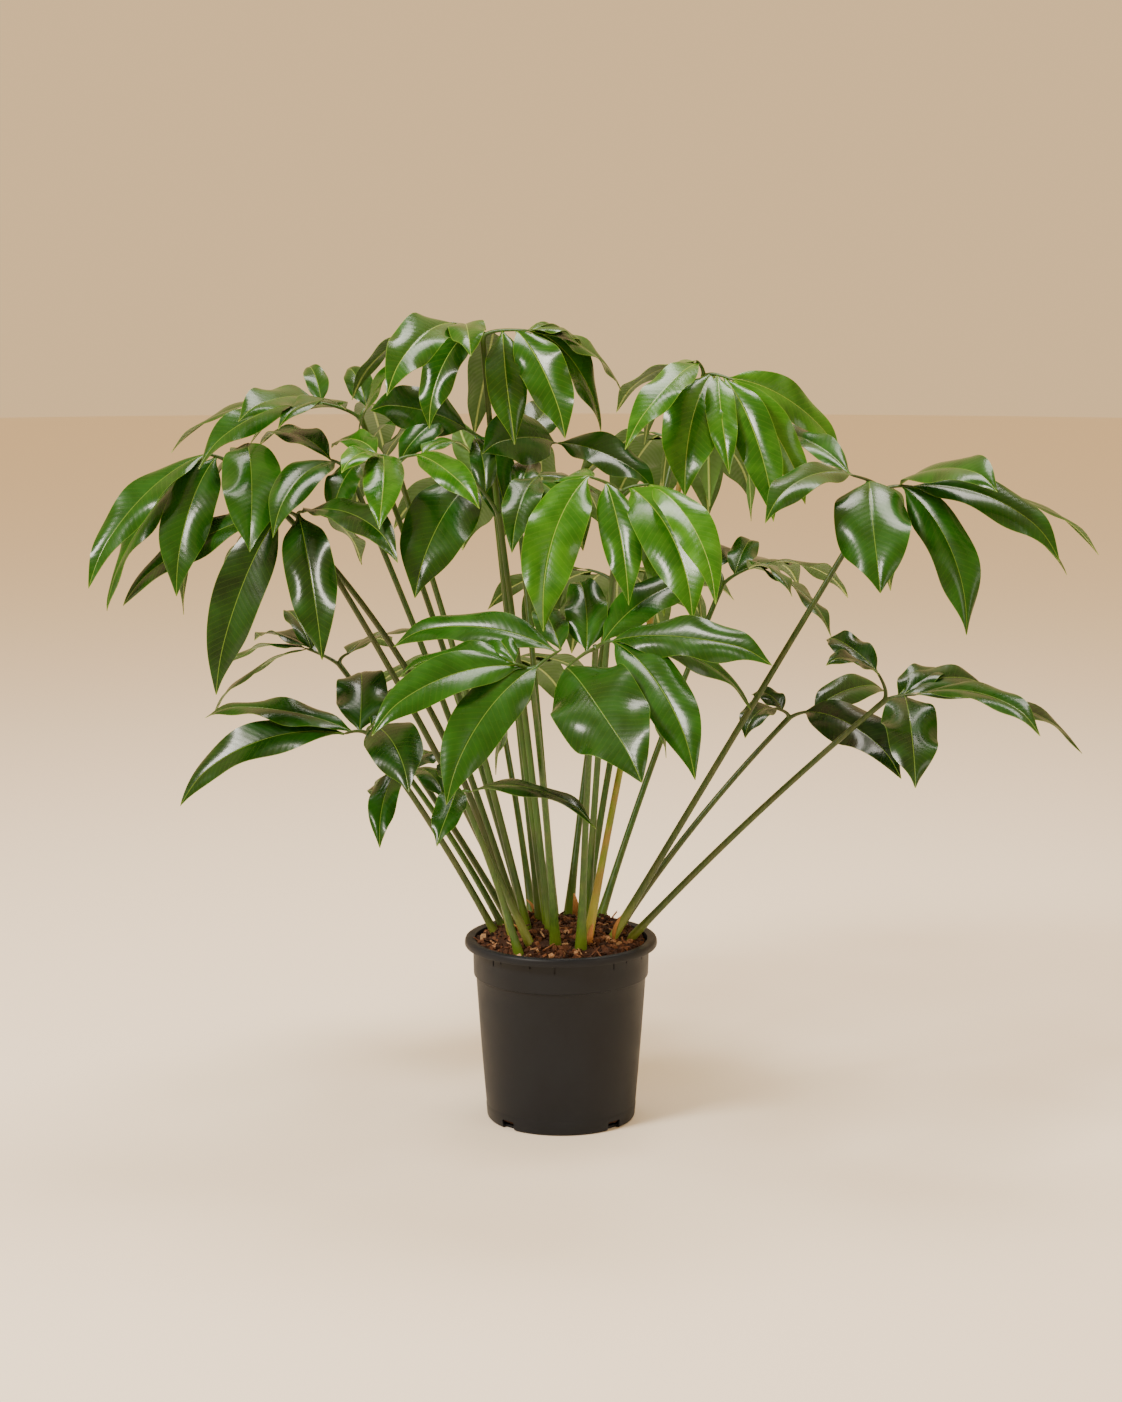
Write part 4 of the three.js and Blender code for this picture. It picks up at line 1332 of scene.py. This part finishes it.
@dataclass
class NurseryPot:
    """The moulded pot: tapered body, upper band, rolled lip, drain notches and ejector slits."""

    height: float = 230.0
    rim_radius: float = 120.0
    lip_height: float = 11.0
    band_top: float = 110.0
    band_foot_radius: float = 109.0
    band_foot: float = 183.0
    body_top: float = 106.0
    foot_radius: float = 92.75
    wall: float = 2.2
    floor: float = 3.0
    facets: int = 128
    notch_width: float = 20.0
    notch_height: float = 11.0
    slit_angles: tuple[float, ...] = (-67, -49, -42, -20, -4, 36, 47, 65, 118, 151, 189, 226, 254)

    def profile(self) -> list[tuple[float, float]]:
        """The pot's section, from the underside's edge up the outside and down the inside.

        Returns:
            Pairs of radius and height.
        """
        foot, step, band, rim = self.foot_radius, self.band_foot_radius, self.band_top, self.rim_radius
        top, lip_foot = self.height, self.height - self.lip_height
        rows = [
            (foot - 2.6, 0.0),
            (foot - 1.2, 0.4),
            (foot - 0.3, 1.6),
            (foot + 0.2, 3.4),
            (foot + 0.9, 11.5),
            (foot + 1.35, 16.6),
            (foot + 1.0, 17.8),
            (foot + 1.1, 19.0),
        ]
        start = rows[-1]
        for i in range(1, 9):
            share = i / 8
            bulge = 0.5 * math.sin(math.pi * share)
            rows.append(
                (
                    start[0] + (self.body_top - start[0]) * share + bulge,
                    start[1] + (self.band_foot - 1.4 - start[1]) * share,
                )
            )
        rows += [
            (self.body_top + 0.3, self.band_foot - 0.9),
            (step - 1.0, self.band_foot - 0.3),
            (step - 0.2, self.band_foot + 0.4),
            (step, self.band_foot + 1.4),
            (step + 0.5, self.band_foot + 18),
            (band - 0.2, lip_foot - 1.0),
            (band + 0.3, lip_foot + 0.1),
            (band + 2.0, lip_foot + 0.6),
            (rim - 2.6, lip_foot + 0.5),
            (rim - 0.9, lip_foot + 0.9),
            (rim - 0.1, lip_foot + 2.2),
            (rim, lip_foot + 4.5),
            (rim - 0.3, top - 3.6),
            (rim - 1.2, top - 1.5),
            (rim - 2.8, top - 0.35),
            (rim - 4.6, top),
            (rim - 7.6, top - 0.3),
            (band - 2.2, top - 1.4),
            (band - 2.9, top - 3.4),
            (band - 3.2, lip_foot),
            (step - 3.2, self.band_foot),
            (foot - self.wall, self.floor + 1.2),
            (foot - self.wall - 1.4, self.floor),
        ]
        return rows

    def shell(self) -> bpy.types.Object:
        """Extrudes a disc ring by ring along the section.

        Returns:
            The closed shell.
        """
        rows = self.profile()
        deselect()
        bpy.ops.mesh.primitive_circle_add(
            vertices=self.facets, radius=rows[0][0] * MM, fill_type="NGON"
        )
        shell = bpy.context.active_object
        shell.name = "nursery_pot_shell"
        bpy.ops.object.mode_set(mode="EDIT")
        bpy.ops.mesh.select_all(action="SELECT")
        for (radius, height), (next_radius, next_height) in zip(rows, rows[1:]):
            bpy.ops.mesh.extrude_region_move(
                TRANSFORM_OT_translate={"value": (0, 0, (next_height - height) * MM)}
            )
            scale = next_radius / radius
            bpy.ops.transform.resize(value=(scale, scale, 1.0))
        bpy.ops.mesh.select_all(action="SELECT")
        bpy.ops.mesh.normals_make_consistent(inside=False)
        bpy.ops.object.mode_set(mode="OBJECT")
        settle(shell)
        return shell

    def cut(self, shell: bpy.types.Object, cutters: list[bpy.types.Object]) -> None:
        """Takes the cutters' shapes out of the shell.

        Args:
            shell: the pot's shell, which is changed.
            cutters: closed solids that don't touch each other, which are used up.
        """
        cutter = join(cutters, "cutter")
        apply_modifier(shell, "BOOLEAN", {"object": cutter, "operation": "DIFFERENCE"})
        bpy.data.objects.remove(cutter)

    def block(
        self, size: Point, reach: float, height: float, turn: float, bevel: float
    ) -> bpy.types.Object:
        """A bevelled block that stands on the pot's wall.

        Args:
            size: its depth, width and height, in millimetres.
            reach: how far from the pot's axis its middle is.
            height: how high its middle is.
            turn: its place round the pot in degrees, from the right-hand side.
            bevel: how far its edges are rounded.

        Returns:
            The block.
        """
        angle = math.radians(turn)
        bpy.ops.mesh.primitive_cube_add(size=1.0)
        block = bpy.context.active_object
        block.scale = [side * MM for side in size]
        block.rotation_euler = (0, 0, angle)
        block.location = (reach * math.cos(angle) * MM, reach * math.sin(angle) * MM, height * MM)
        settle(block)
        apply_modifier(block, "BEVEL", {"width": bevel * MM, "segments": 2})
        return block

    def notches(self) -> list[bpy.types.Object]:
        """The blocks that cut the four drain notches out of the foot."""
        size = (14.0, self.notch_width, self.notch_height * 2)
        return [self.block(size, self.foot_radius, 0.0, turn, 1.6) for turn in (45, 135, 225, 315)]

    def slits(self) -> list[bpy.types.Object]:
        """The blocks that cut the thin ejector slits into the band, under the lip."""
        dice = random.Random(7)
        made = []
        for turn in self.slit_angles:
            size = (2.8, dice.choice((1.3, 1.8, 2.4)), dice.choice((4.0, 6.5, 9.0)))
            height = self.height - self.lip_height - 0.8 - size[2] / 2
            made.append(self.block(size, self.band_top - 0.2, height, turn - 90, 0.3))
        return made

    def build(self, plastic: bpy.types.Material) -> bpy.types.Object:
        """Builds and dresses the pot.

        Args:
            plastic: the pot's material.

        Returns:
            The finished piece.
        """
        pot = self.shell()
        self.cut(pot, self.notches())
        self.cut(pot, self.slits())
        pot.name = pot.data.name = "nursery_pot_moulding"
        dress(pot, plastic)
        smooth(pot, 32)
        hand_over(pot, "pot_plastic", "nursery_pot")
        return pot


# ---- the soil --------------------------------------------------------------------------------


@dataclass
class SoilBed:
    """The potting mix: a lumpy bed, with loose crumbs, chips and fibres on top."""

    edge: float = 222.0
    middle: float = 244.0
    radius: float = 105.6
    cells: int = 84
    crumbs: int = 1500
    fibres: int = 90
    seed: int = 12

    def height_at(self, x: np.ndarray, y: np.ndarray) -> np.ndarray:
        """The bed's top at each place.

        Args:
            x: distances to the right, in millimetres.
            y: distances to the back, in millimetres.

        Returns:
            Heights in millimetres.
        """
        # A dome that leans to the back, with crossed waves for lumps and grit on it, and two mounds
        # against the wall at the back.
        out = np.clip(np.hypot(x, y) / self.radius, 0, 1)
        dome = self.edge + (self.middle - self.edge) * (1 - out**2.2)
        slope = y / 30
        lumps = 2.6 * np.sin(x / 13 + 1.0) * np.cos(y / 17)
        fine = 1.1 * np.sin(x / 4.1 + 2 * np.sin(y / 6)) * np.sin(y / 3.7 + 1.3 * np.sin(x / 7))
        mounds = 8 * np.exp(-(((x + 62) / 26) ** 2) - ((y - 52) / 26) ** 2)
        mounds += 7 * np.exp(-(((x - 66) / 24) ** 2) - ((y - 44) / 26) ** 2)
        inner = 1 - out**6
        return dome + (slope + lumps + mounds) * inner + fine

    def bed(self) -> bpy.types.Object:
        """Presses a grid into a round, lumpy bed and closes it down to the pot's floor.

        Returns:
            The closed bed.
        """
        deselect()
        bpy.ops.mesh.primitive_grid_add(
            x_subdivisions=self.cells, y_subdivisions=self.cells, size=2.0
        )
        bed = bpy.context.active_object
        flat = coordinates(bed.data)
        x, y = flat[:, 0], flat[:, 1]
        # The square grid becomes a disc.
        round_x = x * np.sqrt(np.clip(1 - y * y / 2, 0, 1)) * self.radius
        round_y = y * np.sqrt(np.clip(1 - x * x / 2, 0, 1)) * self.radius
        top = np.stack((round_x, round_y, self.height_at(round_x, round_y)), axis=1)
        bed.data.vertices.foreach_set("co", (top * MM).ravel())
        bpy.ops.object.mode_set(mode="EDIT")
        bpy.ops.mesh.select_all(action="SELECT")
        bpy.ops.mesh.region_to_loop()
        # Straight down inside the pot's band, and then in towards its foot.
        for drop, scale in ((0.036, 1.0), (0.178, 90.0 / self.radius)):
            bpy.ops.mesh.extrude_region_move(TRANSFORM_OT_translate={"value": (0, 0, -drop)})
            bpy.ops.transform.resize(value=(scale, scale, 1.0))
        bpy.ops.mesh.edge_face_add()
        bpy.ops.mesh.select_all(action="SELECT")
        bpy.ops.mesh.normals_make_consistent(inside=False)
        bpy.ops.object.mode_set(mode="OBJECT")
        write_attribute(bed.data, "tint", "FLOAT", np.full(len(bed.data.vertices), 0.12))
        return bed

    def crumb_templates(self) -> list[bpy.types.Object]:
        """The crumbs, chips and fibres that are strewn over the bed, one unit long.

        Returns:
            Two lumps, a flat chip, a shard and a fibre.
        """
        dice = random.Random(self.seed)
        made = []
        for shape in ((1, 0.85, 0.7), (0.9, 0.7, 0.55), (1, 0.7, 0.2), (1, 0.3, 0.22), (1, 0.07, 0.07)):
            bpy.ops.mesh.primitive_cube_add(size=1.0)
            lump = bpy.context.active_object
            lump.scale = shape
            settle(lump)
            bpy.ops.object.mode_set(mode="EDIT")
            bpy.ops.mesh.select_all(action="SELECT")
            bpy.ops.mesh.bevel(offset=0.12 * min(shape), segments=1)
            bpy.ops.object.mode_set(mode="OBJECT")
            for vertex in lump.data.vertices:
                for axis in range(3):
                    vertex.co[axis] += dice.uniform(-0.13, 0.13) * shape[axis]
                vertex.co[2] += 0.25 * shape[2] * math.sin(3 * vertex.co[0])
            made.append(lump)
        return made

    def strew(self, templates: list[bpy.types.Object]) -> bpy.types.Object:
        """Strews turned copies of the crumbs over the bed, as one mesh.

        Args:
            templates: the crumbs to copy.

        Returns:
            The loose top of the bed.
        """
        dice = random.Random(self.seed + 1)
        points: list[np.ndarray] = []
        faces: list[list[int]] = []
        tints: list[float] = []
        kinds = [dice.choices(range(4), (5, 5, 3, 4))[0] for _ in range(self.crumbs)]
        for kind in kinds + [4] * self.fibres:
            reach = (self.radius - 3) * math.sqrt(dice.random())
            turn = dice.uniform(0, 2 * math.pi)
            x, y = reach * math.cos(turn), reach * math.sin(turn)
            ground = float(self.height_at(np.array([x]), np.array([y]))[0])
            size = dice.uniform(12, 24) if kind == 4 else dice.triangular(2.6, 9.5, 4.2)
            lean = dice.uniform(-0.5, 0.5) if kind in (2, 4) else dice.uniform(-1.4, 1.4)
            spin, roll = dice.uniform(0, 2 * math.pi), dice.uniform(-0.6, 0.6)
            body = coordinates(templates[kind].data) * size
            body = body @ turn_matrix(roll, 0).T @ turn_matrix(lean, 1).T @ turn_matrix(spin, 2).T
            first = sum(len(rows) for rows in points)
            points.append(body + (x, y, ground + size * dice.uniform(0.02, 0.2)))
            faces += [[first + i for i in face.vertices] for face in templates[kind].data.polygons]
            pale = dice.random() < 0.1
            tint = dice.uniform(0.75, 0.95) if pale else dice.triangular(-0.05, 0.68, 0.25)
            tints += [tint] * len(body)
        mesh = bpy.data.meshes.new("loose_crumbs")
        mesh.from_pydata((np.concatenate(points) * MM).tolist(), [], faces)
        write_attribute(mesh, "tint", "FLOAT", np.array(tints))
        made = bpy.data.objects.new("loose_crumbs", mesh)
        bpy.context.scene.collection.objects.link(made)
        return made

    def build(self, mix: bpy.types.Material) -> bpy.types.Object:
        """Builds and dresses the soil.

        Args:
            mix: the soil's material.

        Returns:
            The finished piece.
        """
        templates = self.crumb_templates()
        soil = join([self.bed(), self.strew(templates)], "potting_mix_bed")
        for template in templates:
            bpy.data.objects.remove(template)
        dress(soil, mix)
        hand_over(soil, "potting_mix", "soil")
        return soil


def turn_matrix(angle: float, axis: int) -> np.ndarray:
    """The 3 by 3 matrix of a turn.

    Args:
        angle: the turn in radians.
        axis: 0, 1 or 2 for x, y or z.

    Returns:
        The matrix.
    """
    a, b = (axis + 1) % 3, (axis + 2) % 3
    matrix = np.eye(3)
    matrix[a, a] = matrix[b, b] = math.cos(angle)
    matrix[a, b], matrix[b, a] = -math.sin(angle), math.sin(angle)
    return matrix


@dataclass
class DryScales:
    """Dry brown sheaths, left where old leaves came away, curled round the feet of the stalks."""

    places: tuple[tuple[float, float, float, float], ...] = (
        (62, -40, 25, 46),
        (34, -62, 70, 34),
        (70, 6, 15, 38),
        (-48, -30, 200, 26),
        (20, 66, 100, 40),
        (-30, 70, 150, 32),
    )
    width: float = 11.0

    def build(self, husk: bpy.types.Material, bed: SoilBed) -> bpy.types.Object:
        """Builds and dresses the scales.

        Args:
            husk: the material of the scales.
            bed: the soil that they stand in.

        Returns:
            The finished piece, all scales in one mesh.
        """
        dice = random.Random(5)
        deselect()
        bpy.ops.mesh.primitive_grid_add(x_subdivisions=6, y_subdivisions=10, size=1.0)
        template = bpy.context.active_object
        flat = coordinates(template.data)
        scales = []
        for x, y, turn, tall in self.places:
            t = flat[:, 1] + 0.5
            half = self.width / 2 * (1 - t**1.6 * 0.92)
            bend = dice.uniform(0.5, 0.9) * t**2
            cup = np.cos(flat[:, 0] * 2 * 1.2)
            local = np.stack(
                (
                    tall * 0.55 * bend + 3.0 * (1 - cup),
                    flat[:, 0] * 2 * half,
                    tall * t * (1 - 0.25 * bend) - 4,
                ),
                axis=1,
            )
            local = local @ turn_matrix(math.radians(turn), 2).T
            ground = float(bed.height_at(np.array([float(x)]), np.array([float(y)]))[0])
            scale = copy_of(template, "scale", (local + (x, y, ground)) * MM)
            write_attribute(scale.data, "tint", "FLOAT", 0.5 + 0.4 * t)
            scales.append(scale)
        bpy.data.objects.remove(template)
        made = join(scales, "dry_scales")
        apply_modifier(made, "SOLIDIFY", {"thickness": 0.6 * MM, "offset": 0.0})
        made.data.materials.append(husk)
        smooth(made, 50)
        hand_over(made, "potting_mix")
        return made


# ---- the studio ------------------------------------------------------------------------------


@dataclass
class Studio:
    """A pale floor, soft lights and the camera. Metres and watts."""

    floor_radius: float = 14.0
    camera_place: Point = (0.0, -3.5, 1.1)
    camera_pitch: float = 9.3
    camera_lens: float = 73.95
    air: str = "#f5cc96"
    air_strength: float = 1.1
    lights: tuple[tuple[str, Point, float, float, str], ...] = (
        ("key", (-2.3, -2.0, 3.3), 1.0, 215, "#fff6ea"),
        ("top", (0.5, 0.9, 3.4), 1.4, 95, "#fff8ee"),
        ("fill", (3.0, -2.0, 1.8), 1.6, 30, "#fff4e6"),
    )

    def floor(self) -> None:
        """Lays the floor, which isn't part of the object."""
        deselect()
        bpy.ops.mesh.primitive_circle_add(
            vertices=96, radius=self.floor_radius, fill_type="NGON", location=(0, 0, -0.0005)
        )
        floor = bpy.context.active_object
        floor.name = "studio_floor"
        settle(floor)
        floor.data.materials.append(StudioFloor().make())

    def softbox(self, name: str, place: Point, size: float, power: float, colour: str) -> None:
        """Hangs a square soft light that points at the middle of the plant.

        Args:
            name: the light's name.
            place: where it hangs.
            size: its side.
            power: its watts.
            colour: its sRGB colour.
        """
        lamp = bpy.data.lights.new(name, "AREA")
        lamp.shape = "SQUARE"
        lamp.size = size
        lamp.energy = power
        lamp.color = linear(colour)[:3]
        holder = bpy.data.objects.new(name, lamp)
        aim = np.array((0.0, 0.0, 0.6)) - place
        spin = math.atan2(aim[1], aim[0])
        tip = math.atan2(math.hypot(aim[0], aim[1]), -aim[2])
        holder.rotation_euler = (tip, 0, spin - math.pi / 2)
        holder.location = place
        bpy.context.scene.collection.objects.link(holder)

    def build(self) -> None:
        """Lays the floor, hangs the lights and sets the camera."""
        self.floor()
        world = bpy.data.worlds.new("studio air")
        world.use_nodes = True
        sky = world.node_tree.nodes["Background"]
        sky.inputs["Color"].default_value = linear(self.air)
        sky.inputs["Strength"].default_value = self.air_strength
        bpy.context.scene.world = world
        for light in self.lights:
            self.softbox(*light)
        lens = bpy.data.cameras.new("camera")
        lens.lens = self.camera_lens
        lens.sensor_fit = "VERTICAL"
        lens.sensor_height = 36
        holder = bpy.data.objects.new("camera", lens)
        holder.location = self.camera_place
        holder.rotation_euler = (math.radians(90 - self.camera_pitch), 0, 0)
        bpy.context.scene.collection.objects.link(holder)
        bpy.context.scene.camera = holder


def main() -> None:
    """Builds the pot, the soil and every leaf over the frame, and then the studio."""
    logging.basicConfig(level=logging.INFO, format="%(name)s: %(message)s")
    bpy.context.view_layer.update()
    upper, young, underside = MATURE_LEAF.make(), YOUNG_LEAF.make(), LeafUnderside().make()
    stalk_stuff = {name: skin.make() for name, skin in STALK_SKINS.items()}
    NurseryPot().build(MouldedPlastic().make())
    soil = SoilBed()
    mix = PottingMix().make()
    soil.build(mix)
    DryScales().build(DRY_HUSK.make(), soil)
    stalk_rods = Rods(14, 30)
    arm_rods = Rods(9, 14)
    stalk_rods.build_template()
    arm_rods.build_template()
    foliage = Foliage()
    foliage.build_template()
    for leaf in LEAVES:
        kind = "green"
        if leaf.name in AGEING_STALKS:
            kind = "ageing"
        elif leaf.name in DARK_STALKS:
            kind = "dark"
        skin = stalk_stuff[kind]
        Stalk(leaf).build(stalk_rods, skin)
        face = young if leaf.name in YOUNG_LEAVES else upper
        arm_skin = stalk_stuff["green" if kind == "ageing" else kind]
        foliage.blade(leaf, arm_rods, [face, underside], arm_skin)
    for template in (stalk_rods.template, arm_rods.template, foliage.template):
        bpy.data.objects.remove(template)
    Studio().build()
    deselect()


if __name__ == "__main__":
    main()
